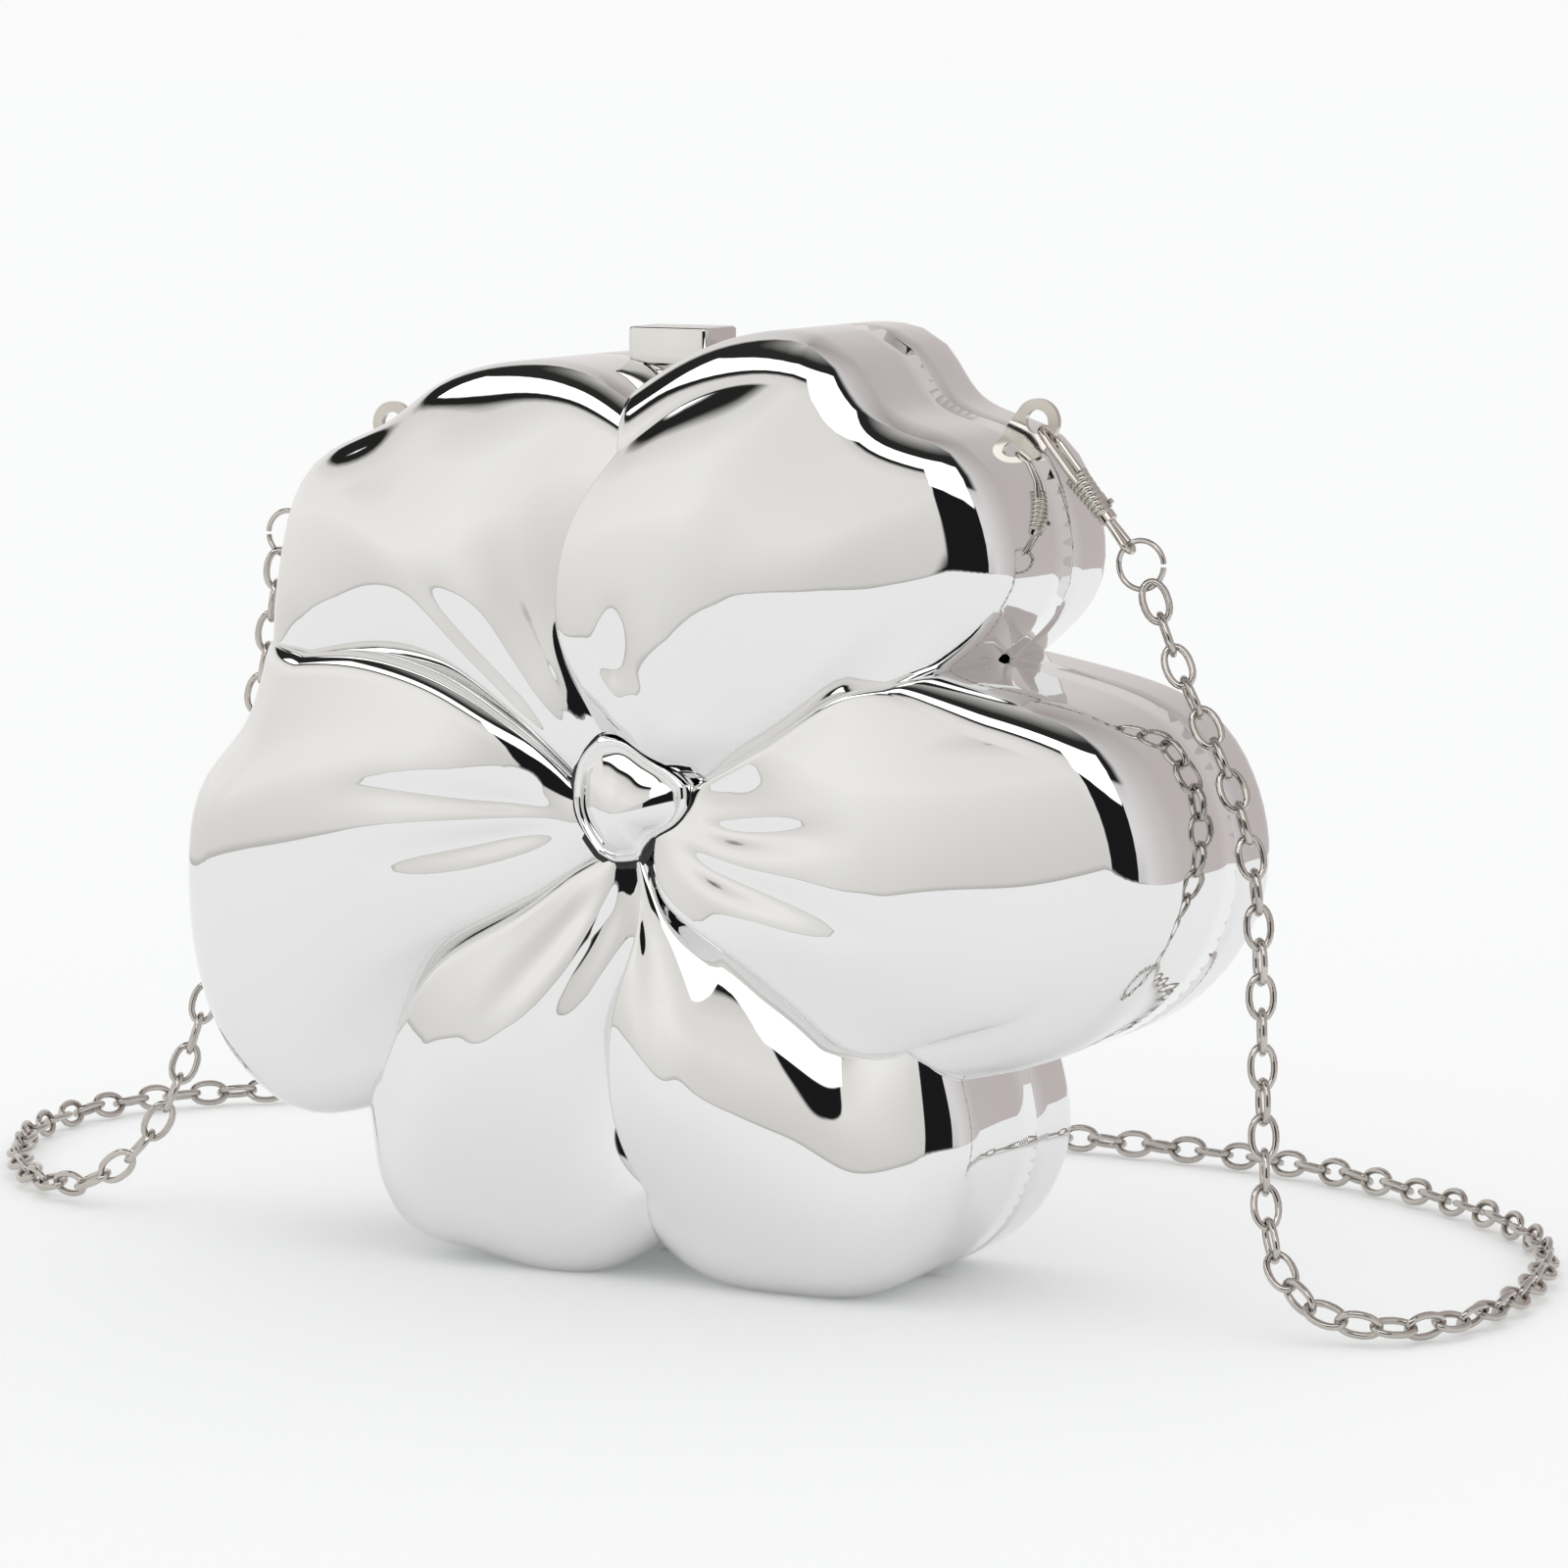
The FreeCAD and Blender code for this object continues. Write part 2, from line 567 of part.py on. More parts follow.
def jump_ring(side):
    """Split ring of round wire, hanging in the clasp's eye."""
    centre = Vec(strap_sides[side]["ring"].x, clasp_y, strap_sides[side]["ring"].z)
    ring = Part.makeTorus(ring_radius, ring_wire_radius, centre, Vec(0, 1, 0))
    outward = 1 if side == "right" else -1
    start = centre.x + outward * (ring_radius - 1)
    split = box(min(start, start + outward * 2), max(start, start + outward * 2),
                clasp_y - 1, clasp_y + 1, centre.z - 0.1, centre.z + 0.1)
    return ring.cut(split)


# ---- chain strap ----
def strap_tube():
    """The space that the chain fills: straight runs joined by tangent arcs."""
    points = [Vec(*point) for point in strap_route]
    edges = []
    radii = []
    start = points[0]
    for before, corner, after in zip(points, points[1:], points[2:]):
        incoming = (corner - before).normalize()
        outgoing = (after - corner).normalize()
        turn = incoming.getAngle(outgoing)
        setback = 0.45 * min((corner - before).Length, (after - corner).Length)
        radius = setback / math.tan(turn / 2)
        radii.append(radius)
        arc_start = corner - incoming * setback
        arc_end = corner + outgoing * setback
        bisector = (outgoing - incoming).normalize()
        middle = corner + bisector * (radius / math.cos(turn / 2) - radius)
        edges.append(Part.LineSegment(start, arc_start).toShape())
        edges.append(Part.Arc(arc_start, middle, arc_end).toShape())
        start = arc_end
    edges.append(Part.LineSegment(start, points[-1]).toShape())
    path = Part.Wire(edges)
    tube = wire_sweep(path, points[0], points[1] - points[0], chain_diameter / 2)
    print("strap bend radii", [round(value) for value in radii])
    print("strap length %.1f, volume ratio %.4f" % (
        path.Length, tube.Volume / (path.Length * math.pi * (chain_diameter / 2) ** 2)))
    return tube


# ---- shells, lip and liners ----
def floor_cut():
    """Everything under the surface that the bag stands on, for flat feet."""
    return box(-100, 100, -40, 40, -5, 0)


def front_shell():
    shell = rounded_slab(front_y, seam_front_y, front_edge_radius)
    shell = shell.cut(stepped_hollow(front_y, seam_front_y, front_edge_radius, shell_wall))
    shell = shell.fuse(hinge_pads(-1) + [lock_pad(-1)])
    room = hinge_reliefs() + rivet_stems(-1) + [lock_headroom(), lock_screws(-1), floor_cut()]
    return shell.cut(room).removeSplitter()


def back_shell():
    shell = rounded_slab(back_y, seam_back_y, back_edge_radius)
    shell = shell.cut(stepped_hollow(back_y, seam_back_y, back_edge_radius, shell_wall))
    bosses = [lug_boss(side).common(slab(0, seam_back_y, back_y)) for side in strap_sides]
    shell = shell.fuse(hinge_pads(1) + [lock_pad(1)] + bosses)
    room = hinge_reliefs() + rivet_stems(1) + [lock_headroom(), lock_screws(1), floor_cut()]
    room += [strap_lug(side) for side in strap_sides] + [lug_screw(side) for side in strap_sides]
    return shell.cut(room).removeSplitter()


def hinge_and_lock_room():
    room = [box(middle - hinge_width / 2 - 2, middle + hinge_width / 2 + 2, front_y, back_y, -1, 8)
            for middle in hinge_middles]
    room.append(box(lock_x0 - 1.8, lock_x1 + 1.8, lock_y0 - 2.2, lock_y1 + 2.2,
                    lock_seat_height - 5.2, lock_seat_height + 12))
    room += [lug_slot(side, 0.4) for side in strap_sides]
    return room


def alignment_lip():
    """A rim inside the back half that guides the front half shut, open near the hinges."""
    root = slab(shell_wall, seam_back_y, seam_y + 6)
    tip = slab(shell_wall + lip_clearance, seam_y - lip_reach, seam_back_y)
    inside = slab(shell_wall + lip_clearance + lip_wall, seam_y - lip_reach - 1, seam_y + 7)
    lip = root.fuse(tip).cut(inside)
    bosses = [lug_boss(side) for side in strap_sides]
    return cut_each(lip, [box(-100, 100, -40, 40, -5, 34)] + hinge_and_lock_room() + bosses)


def liner(y_face, y_end, inset):
    """A thin lined tray inside a half."""
    towards_seam = 1 if y_end > y_face else -1
    floor_y = y_face + towards_seam * (shell_wall + 0.6)
    outer = slab(inset, min(floor_y, y_end), max(floor_y, y_end))
    inner_y = floor_y + towards_seam * liner_wall
    inner = slab(inset + liner_wall, min(inner_y, y_end), max(inner_y, y_end))
    tray = outer.cut(inner)
    bosses = [lug_boss(side) for side in strap_sides]
    return cut_each(tray, hinge_and_lock_room() + bosses)


def save(name, shape):
    shape.exportStep("parts/" + name + ".step")
    print("%-22s %3d solids %10.1f mm3 valid %s" % (name, len(shape.Solids), shape.Volume, shape.isValid()))


save("front_shell", front_shell())
save("back_shell", back_shell())
save("alignment_lip", alignment_lip())
save("front_liner", liner(front_y, seam_y - lip_reach - 1, front_edge_radius))
save("back_liner", liner(back_y, seam_y + 1, back_edge_radius))
for place, middle in zip(("left", "right"), hinge_middles):
    save("hinge_leaf_front_" + place, hinge_leaf(middle, -1))
    save("hinge_leaf_back_" + place, hinge_leaf(middle, 1))
    save("hinge_pin_" + place, hinge_pin(middle))
save("hinge_rivets_front", hinge_rivets(-1))
save("hinge_rivets_back", hinge_rivets(1))
save("lock_lever", lock_lever())
save("lock_base", lock_base())
save("lock_pin", lock_pin())
save("lock_spring", lock_spring())
save("lock_base_screws", lock_screws(1))
save("strike_plate", strike_plate())
save("strike_screws", lock_screws(-1))
for side in strap_sides:
    save("strap_lug_" + side, strap_lug(side))
    save("lug_screw_" + side, lug_screw(side))
    save("clasp_body_" + side, clasp_body(side))
    save("clasp_gate_" + side, clasp_gate(side))
    save("gate_rivet_" + side, gate_rivet(side))
    save("gate_spring_" + side, gate_spring(side))
    save("jump_ring_" + side, jump_ring(side))
save("strap_chain", strap_tube())
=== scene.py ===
import json
import math
import random

import bmesh
import bpy
import numpy as np
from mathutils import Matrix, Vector


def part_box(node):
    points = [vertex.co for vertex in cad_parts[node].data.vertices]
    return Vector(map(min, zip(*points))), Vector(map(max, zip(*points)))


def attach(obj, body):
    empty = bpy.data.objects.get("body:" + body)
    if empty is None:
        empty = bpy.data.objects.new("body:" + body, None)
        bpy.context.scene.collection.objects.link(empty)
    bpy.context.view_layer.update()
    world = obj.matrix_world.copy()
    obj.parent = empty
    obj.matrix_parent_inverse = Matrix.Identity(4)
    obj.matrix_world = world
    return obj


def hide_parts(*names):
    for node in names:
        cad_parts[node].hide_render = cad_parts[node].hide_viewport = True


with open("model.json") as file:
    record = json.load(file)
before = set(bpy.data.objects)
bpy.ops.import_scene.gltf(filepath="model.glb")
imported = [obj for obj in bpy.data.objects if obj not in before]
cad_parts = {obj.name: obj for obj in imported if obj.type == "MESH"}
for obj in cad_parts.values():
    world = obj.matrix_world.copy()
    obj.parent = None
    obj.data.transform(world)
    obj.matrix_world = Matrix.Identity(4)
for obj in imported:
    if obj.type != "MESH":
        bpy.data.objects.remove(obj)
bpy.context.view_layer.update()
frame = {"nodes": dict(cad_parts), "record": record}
record = frame["record"]
mm = 0.001
rng = random.Random(7)


def deselectAll():
    if bpy.context.mode != "OBJECT":
        bpy.ops.object.mode_set(mode="OBJECT")
    bpy.ops.object.select_all(action="DESELECT")


def pickOnly(obj):
    deselectAll()
    obj.select_set(True)
    bpy.context.view_layer.objects.active = obj
    return obj


def applyPlace(obj):
    pickOnly(obj)
    bpy.ops.object.transform_apply(location=True, rotation=True, scale=True)
    return obj


def applyModifiers(obj):
    pickOnly(obj)
    for modifier in list(obj.modifiers):
        bpy.ops.object.modifier_apply(modifier=modifier.name)
    return obj


def joinAll(objects, name):
    deselectAll()
    for obj in objects:
        obj.select_set(True)
    bpy.context.view_layer.objects.active = objects[0]
    bpy.ops.object.join()
    objects[0].name = name
    objects[0].data.name = name
    return objects[0]


def mergeAndFaceOut(obj, gap=1e-6, inside=False):
    pickOnly(obj)
    bpy.ops.object.mode_set(mode="EDIT")
    bpy.ops.mesh.select_all(action="SELECT")
    bpy.ops.mesh.remove_doubles(threshold=gap)
    bpy.ops.mesh.normals_make_consistent(inside=inside)
    bpy.ops.object.mode_set(mode="OBJECT")
    return obj


def smoothAll(obj, angle=None):
    pickOnly(obj)
    if angle is None:
        bpy.ops.object.shade_smooth()
    else:
        bpy.ops.object.shade_smooth_by_angle(angle=math.radians(angle))
    return obj


# materials
def newMaterial(name):
    material = bpy.data.materials.new(name)
    material.use_nodes = True
    nodes = material.node_tree.nodes
    nodes.clear()
    output = nodes.new("ShaderNodeOutputMaterial")
    shader = nodes.new("ShaderNodeBsdfPrincipled")
    material.node_tree.links.new(shader.outputs["BSDF"], output.inputs["Surface"])
    return material, nodes, material.node_tree.links, shader


def addNoise(nodes, links, scale, detail=3.0, roughness=0.55):
    coords = nodes.new("ShaderNodeTexCoord")
    noise = nodes.new("ShaderNodeTexNoise")
    noise.inputs["Scale"].default_value = scale
    noise.inputs["Detail"].default_value = detail
    noise.inputs["Roughness"].default_value = roughness
    links.new(coords.outputs["Object"], noise.inputs["Vector"])
    return noise


def addRamp(nodes, links, source, stops):
    ramp = nodes.new("ShaderNodeValToRGB")
    ramp.color_ramp.elements[0].position = stops[0][0]
    ramp.color_ramp.elements[0].color = (*stops[0][1], 1)
    ramp.color_ramp.elements[1].position = stops[1][0]
    ramp.color_ramp.elements[1].color = (*stops[1][1], 1)
    links.new(source, ramp.inputs["Fac"])
    return ramp


def metalMaterial(name, dark, light, polish, grain, ripple):
    # polished metal: a slow change of tint, finer change of polish, and a faint surface ripple
    material, nodes, links, shader = newMaterial(name)
    shader.inputs["Metallic"].default_value = 1.0
    slow = addNoise(nodes, links, grain * 0.2)
    tint = addRamp(nodes, links, slow.outputs["Fac"], [(0.3, dark), (0.7, light)])
    links.new(tint.outputs["Color"], shader.inputs["Base Color"])
    fine = addNoise(nodes, links, grain, 5.0)
    rough = addRamp(nodes, links, fine.outputs["Fac"],
                    [(0.35, (polish[0],) * 3), (0.75, (polish[1],) * 3)])
    links.new(rough.outputs["Color"], shader.inputs["Roughness"])
    bump = nodes.new("ShaderNodeBump")
    bump.inputs["Strength"].default_value = ripple[0]
    bump.inputs["Distance"].default_value = ripple[1]
    links.new(addNoise(nodes, links, grain * 0.6, 2.0).outputs["Fac"], bump.inputs["Height"])
    links.new(bump.outputs["Normal"], shader.inputs["Normal"])
    return material


def suedeMaterial(name, dark, light):
    # flocked lining: short nap, seen as fine grain with a soft sheen
    material, nodes, links, shader = newMaterial(name)
    shader.inputs["Roughness"].default_value = 0.95
    shader.inputs["Sheen Weight"].default_value = 0.6
    shader.inputs["Sheen Roughness"].default_value = 0.4
    nap = addNoise(nodes, links, 900.0, 6.0)
    tint = addRamp(nodes, links, nap.outputs["Fac"], [(0.3, dark), (0.7, light)])
    links.new(tint.outputs["Color"], shader.inputs["Base Color"])
    bump = nodes.new("ShaderNodeBump")
    bump.inputs["Strength"].default_value = 0.5
    bump.inputs["Distance"].default_value = 0.0002
    links.new(nap.outputs["Fac"], bump.inputs["Height"])
    links.new(bump.outputs["Normal"], shader.inputs["Normal"])
    return material


def plasticMaterial(name, dark, light):
    material, nodes, links, shader = newMaterial(name)
    grain = addNoise(nodes, links, 350.0, 4.0)
    tint = addRamp(nodes, links, grain.outputs["Fac"], [(0.3, dark), (0.7, light)])
    links.new(tint.outputs["Color"], shader.inputs["Base Color"])
    polish = addRamp(nodes, links, grain.outputs["Fac"], [(0.3, (0.25,) * 3), (0.7, (0.4,) * 3)])
    links.new(polish.outputs["Color"], shader.inputs["Roughness"])
    return material


# each metal's darker and lighter tint, range of roughness, grain, and ripple as strength and depth
mirrorShell = metalMaterial("mirrorShell", (0.81, 0.81, 0.81), (0.84, 0.84, 0.835),
                            polish=(0.012, 0.03), grain=30.0, ripple=(0.02, 0.0002))
polishedNickel = metalMaterial("polishedNickel", (0.58, 0.545, 0.50), (0.68, 0.645, 0.60),
                               polish=(0.07, 0.15), grain=300.0, ripple=(0.05, 0.0001))
chainNickel = metalMaterial("chainNickel", (0.50, 0.47, 0.44), (0.60, 0.57, 0.535),
                            polish=(0.08, 0.18), grain=500.0, ripple=(0.08, 0.0001))
lockPlate = metalMaterial("lockPlate", (0.70, 0.69, 0.67), (0.76, 0.75, 0.73),
                          polish=(0.05, 0.10), grain=120.0, ripple=(0.03, 0.0001))
plainSteel = metalMaterial("plainSteel", (0.50, 0.50, 0.51), (0.62, 0.62, 0.63),
                           polish=(0.22, 0.38), grain=400.0, ripple=(0.1, 0.0001))
darkSuede = suedeMaterial("darkSuede", (0.012, 0.012, 0.014), (0.035, 0.034, 0.036))
greyPlastic = plasticMaterial("greyPlastic", (0.42, 0.42, 0.43), (0.50, 0.50, 0.51))
slotMaterials = {
    "shell": mirrorShell, "hardware": polishedNickel, "chain": chainNickel, "liner": darkSuede,
    "lip": greyPlastic, "lock": lockPlate, "steel": plainSteel,
}


def dress(obj, material):
    obj.data.materials.clear()
    obj.data.materials.append(material)


for part in record["subparts"]:
    dress(frame["nodes"][part["node"]], slotMaterials[part["material_slot"]])
print("stage: materials")


# flower shells
flower = {
    # each petal's outline from notch to notch, clockwise from the upper left, in millimetres
    "outlines": [
        [(-75.5, 103.5), (-73.5, 118), (-66.5, 134.0), (-53, 140.8), (-43.5, 147.2),
         (-28, 151.6), (-12, 150.2), (-6, 147.2)],
        [(-6, 147.2), (4, 153.2), (17, 157.3), (33, 154.6), (39.5, 146.3),
         (54, 140.2), (60.8, 130), (61.5, 115), (51.5, 104)],
        [(51.5, 104), (68, 100.8), (82, 94.8), (90.3, 81.5), (91.6, 69), (86.3, 55.3),
         (73, 43.6), (54.5, 37.8)],
        [(54.5, 37.8), (56.8, 26), (50, 9), (34, 0.2), (25, -0.3), (15, 0.0), (5, 2.6), (-1, 6.5)],
        [(-1, 6.5), (-12, 0.6), (-24, -0.3), (-36, 1.8), (-47, 4.0), (-54, 13), (-56, 24.8)],
        [(-56, 24.8), (-69, 22.6), (-82, 30), (-90, 46), (-91.7, 62), (-88, 80),
         (-80.5, 89), (-75.5, 103.5)],
    ],
    # the line between each petal and the one before it, from the bud outwards
    "borders": [
        [(-14.2, 83), (-20, 88.8), (-28, 94.5), (-36, 98.8), (-46, 101.8), (-56, 102.8)],
        [(-9.6, 91), (-13.2, 99), (-16.2, 108), (-16.2, 117), (-12.8, 127.5)],
        [(7.4, 83.8), (13.5, 87), (20, 90.6), (28.5, 96.2), (35, 100)],
        [(-0.8, 72.3), (1.5, 64.8), (9, 59.4), (20, 52.8), (29, 46.4), (36, 42.0)],
        [(-3.2, 70.2), (-1.9, 63), (-3.6, 54.5), (-6.6, 44.5), (-7.2, 36), (-5.6, 26)],
        [(-9.4, 71.2), (-14, 68.6), (-21, 63.4), (-30, 58), (-38, 53.0), (-44, 46.2), (-47.6, 39.5)],
    ],
    # the bud's rim from the first border's start, clockwise, one stretch for each petal
    "budRim": [
        [(-14.2, 83), (-13.2, 87), (-9.6, 91)],
        [(-9.6, 91), (-5.5, 91.4), (0.5, 88.4), (5.5, 85.6), (7.4, 83.8)],
        [(7.4, 83.8), (7.4, 80.5), (4.8, 76.6), (1, 74.4), (-0.8, 72.3)],
        [(-0.8, 72.3), (-1.8, 70.7), (-3.2, 70.2)],
        [(-3.2, 70.2), (-6.2, 70), (-9.4, 71.2)],
        [(-9.4, 71.2), (-12.4, 75), (-14.2, 79.5), (-14.2, 83)],
    ],
    # for each petal: is it over the petal before it, and over the one after it
    "over": [(False, False), (True, False), (True, True), (False, True), (False, True), (False, True)],
    # each petal's crown: its height, how much of it is there at the bud, and its lean to one side
    "dome": [2.8, 3.4, 2.8, 3.2, 3.2, 3.8],
    "domeFoot": [0.5, 1.0, 0.35, 0.35, 0.35, 0.35],
    "domeTurn": [0.7, 1.0, 1.2, 1.3, 1.0, 0.72],
    # furrows as (share across at the bud, share across at the end, where it ends, depth, half width)
    "furrows": [
        [(0.40, 0.36, 0.66, 0.9, 4.0), (0.70, 0.72, 0.62, 0.8, 4.0)],
        [(0.30, 0.24, 0.44, 1.1, 3.4), (0.62, 0.60, 0.5, 0.5, 4.0)],
        [(0.36, 0.40, 0.50, 0.8, 2.8), (0.60, 0.68, 0.66, 1.0, 3.4)],
        [(0.68, 0.66, 0.66, 0.9, 3.6)],
        [(0.34, 0.36, 0.58, 0.7, 3.4), (0.62, 0.60, 0.62, 0.8, 3.6)],
        [(0.40, 0.42, 0.62, 1.0, 3.2), (0.60, 0.62, 0.72, 0.8, 3.0)],
    ],
    # at each border: how far the upper petal's rim stands up, the rim's rounding,
    # how deep the lower petal dips to meet it, how wide that dip is, and where the dip fades out
    "rims": [
        (2.4, 3.4, 1.8, 5.5, 1.3), (1.5, 2.0, 0.4, 8.0, 1.3), (1.2, 1.8, 2.2, 11.0, 1.3),
        (2.0, 2.6, 4.2, 8.0, 1.2), (1.6, 2.0, 1.9, 5.2, 1.3), (1.5, 2.0, 1.8, 7.0, 1.3),
    ],
    # the face's lift, then its fall towards the bud and the tip: each petal's own in its middle,
    # and the common one at the borders
    "lift": 0.8, "recess": 3.2, "recessCommon": 0.4, "tipFrom": 0.45, "tipCommon": 1.4,
    "recessReach": [0.2, 0.15, 0.5, 0.6, 0.8, 0.45],
    "tip": [3.0, 3.2, 2.6, 2.4, 2.0, 2.4],
    "tipLean": [0, 0, 0.8, 0, 0, 0],
    "across": 56, "along": 80, "edgeRings": 12, "wallRings": 3,
    "notchShare": 1.25, "wall": 1.6, "lip": 0.35, "linerGap": 0.35, "linerWall": 0.8, "sharpAngle": 50,
    # how the shaping above comes in and fades out, mostly as shares of a petal's width or length
    "edgeShare": 0.3, "growStart": 0.4, "growReach": 0.35, "rimShare": 0.12,
    "dipFadeFrom": 0.6, "dipFade": 0.85, "tipPower": 2.5, "crownFrom": 0.55, "crownFade": 0.5,
    # length of the rounded edge's curve handles, as a share of its size
    "edgeHold": 0.55,
    # the seam opens below this height into a V, so that the halves can swing past each other
    "grooveTop": 2.1, "grooveSlope": 0.72,
}
# the bud from its rim, with its rolled lip, to its middle: share of the rim's distance, and height
budProfile = (
    (1.0, 0.0), (0.985, 1.0), (0.965, 1.7), (0.94, 2.2), (0.91, 2.5), (0.88, 2.55), (0.85, 2.3),
    (0.82, 2.0), (0.77, 2.1), (0.7, 2.7), (0.6, 3.4), (0.48, 4.0), (0.36, 4.5), (0.24, 4.8),
    (0.12, 4.95), (0.0, 5.0),
)
# columns of points kept this far in from a petal's edges, in millimetres
edgeOffsets = (0.0, 0.12, 0.4, 0.85, 1.5, 2.3, 3.3, 4.6, 6.2)


def fitCurve(points):
    # a natural cubic curve through the points, as a function of its length share
    pts = np.array(points, float)
    knots = np.concatenate([[0], np.cumsum(np.linalg.norm(np.diff(pts, axis=0), axis=1))])
    gaps = np.diff(knots)
    count = len(pts)
    matrix = np.zeros((count, count))
    right = np.zeros((count, pts.shape[1]))
    matrix[0, 0] = matrix[-1, -1] = 1
    for k in range(1, count - 1):
        matrix[k, k - 1] = gaps[k - 1]
        matrix[k, k] = 2 * (gaps[k - 1] + gaps[k])
        matrix[k, k + 1] = gaps[k]
        right[k] = 6 * ((pts[k + 1] - pts[k]) / gaps[k] - (pts[k] - pts[k - 1]) / gaps[k - 1])
    bend = np.linalg.solve(matrix, right)

    def at(values):
        t = np.clip(np.asarray(values, float), 0, knots[-1])
        k = np.clip(np.searchsorted(knots, t, side="right") - 1, 0, count - 2)
        h = gaps[k][:, None]
        a = (knots[k + 1] - t)[:, None]
        b = (t - knots[k])[:, None]
        return ((a ** 3 * bend[k] + b ** 3 * bend[k + 1]) / (6 * h)
                + (pts[k] / h - h * bend[k] / 6) * a + (pts[k + 1] / h - h * bend[k + 1] / 6) * b)

    fine = at(np.linspace(0, knots[-1], 400))
    lengths = np.concatenate([[0], np.cumsum(np.linalg.norm(np.diff(fine, axis=0), axis=1))])
    lengths /= lengths[-1]

    def byShare(shares):
        return at(np.interp(shares, lengths, np.linspace(0, knots[-1], 400)))

    return byShare


def easeStep(x, low, high):
    t = np.clip((x - low) / (high - low), 0, 1)
    return t * t * (3 - 2 * t)


def columnShares(width, count):
    # shares across a petal: packed close beside both edges, even in the middle
    reach = min(edgeOffsets[-1], width * 0.2)
    near = np.array(edgeOffsets) / edgeOffsets[-1] * reach / width
    middle = np.linspace(near[-1], 1 - near[-1], count - 2 * len(near) + 3)[1:-1]
    return np.concatenate([near, middle, 1 - near[::-1]])


def outlineWays(outlines):
    # each outline's curve and its inward direction, turned smoothly to the notches' own way in
    curves = [fitCurve(points) for points in outlines]
    ends = []
    for curve in curves:
        first = curve([0.0, 0.004])
        last = curve([0.996, 1.0])
        ends.append(((first[1] - first[0]), (last[1] - last[0])))

    def inward(way):
        return np.array([way[1], -way[0]]) / np.linalg.norm(way)

    notchWays = []
    for index in range(len(curves)):
        way = inward(ends[index - 1][1]) + inward(ends[index][0])
        notchWays.append(way / np.linalg.norm(way) * flower["notchShare"])
    return curves, notchWays


def outlineRow(index, shares, inset, curves, notchWays):
    # points of one petal's outline moved inwards by inset, one for each share along it
    curve = curves[index]
    points = curve(shares)
    step = 0.002
    ways = curve(np.clip(shares + step, 0, 1)) - curve(np.clip(shares - step, 0, 1))
    ways = np.stack([ways[:, 1], -ways[:, 0]], 1)
    ways /= np.linalg.norm(ways, axis=1)[:, None]
    fromStart = 1 - easeStep(shares, 0, 0.10)
    fromEnd = easeStep(shares, 0.90, 1)
    ways = (ways * (1 - fromStart - fromEnd)[:, None] + fromStart[:, None] * notchWays[index]
            + fromEnd[:, None] * notchWays[(index + 1) % len(curves)])
    return points + ways * inset


def petalHeights(index, across, along, widths, relief):
    # how far a petal's face stands out of the plain face, in millimetres
    fromLeft = across * widths
    fromRight = (1 - across) * widths
    nearest = np.minimum(fromLeft, fromRight)
    inFromEdge = 1 - (1 - np.clip(nearest / (widths * flower["edgeShare"]), 0, 1)) ** 2
    grow = flower["growStart"] + (1 - flower["growStart"]) * easeStep(along, 0, flower["growReach"])
    ownTip = flower["tip"][index] * (1 + flower["tipLean"][index] * (2 * across - 1))
    tip = flower["tipCommon"] + (ownTip - flower["tipCommon"]) * inFromEdge
    beyond = np.clip((along - flower["tipFrom"]) / (1 - flower["tipFrom"]), 0, 1)
    reach = flower["recessCommon"] + (flower["recessReach"][index] - flower["recessCommon"]) * inFromEdge
    fall = flower["recess"] * np.clip(1 - along / reach, 0, 1) ** 2
    height = flower["lift"] - tip * beyond ** flower["tipPower"] - fall
    sides = ((index, 0, fromLeft, 1 - across), ((index + 1) % 6, 1, fromRight, across))
    for border, side, s, keep in sides:
        step, radius, dip, reach, fade = flower["rims"][border]
        radius = np.minimum(radius, widths * flower["rimShare"])
        dip = dip * grow * (1 - easeStep(along, fade * flower["dipFadeFrom"], fade) * flower["dipFade"])
        if flower["over"][index][side]:
            rise = np.sqrt(np.clip(1 - (1 - np.clip(s / radius, 0, 1)) ** 2, 0, 1))
            height = height - dip * (1 - rise) + step * grow * rise * easeStep(keep, 0.0, 0.8)
        else:
            spread = np.minimum(reach, widths * flower["edgeShare"])
            height = height - dip * np.exp(-s / spread) * (1 - (1 - keep) ** 6)
    foot = flower["domeFoot"][index]
    crown = np.sin(np.pi * across ** flower["domeTurn"][index])
    dome = crown * (foot + (1 - foot) * easeStep(along, 0, 0.5))
    toTip = easeStep(along, flower["crownFrom"], 1)
    height = height + flower["dome"][index] * dome * (1 - flower["crownFade"] * toTip)
    for start, end, reach, depth, half in flower["furrows"][index]:
        middle = start + (end - start) * along / reach
        away = (across - middle) * widths
        fade = easeStep(along, 0.02, 0.2) * (1 - easeStep(along, reach * 0.4, reach)) * inFromEdge
        width = half * (0.5 + 0.5 * easeStep(along, 0, 0.4))
        height = height - depth * fade * np.exp(-(away / width) ** 2)
    return height * relief


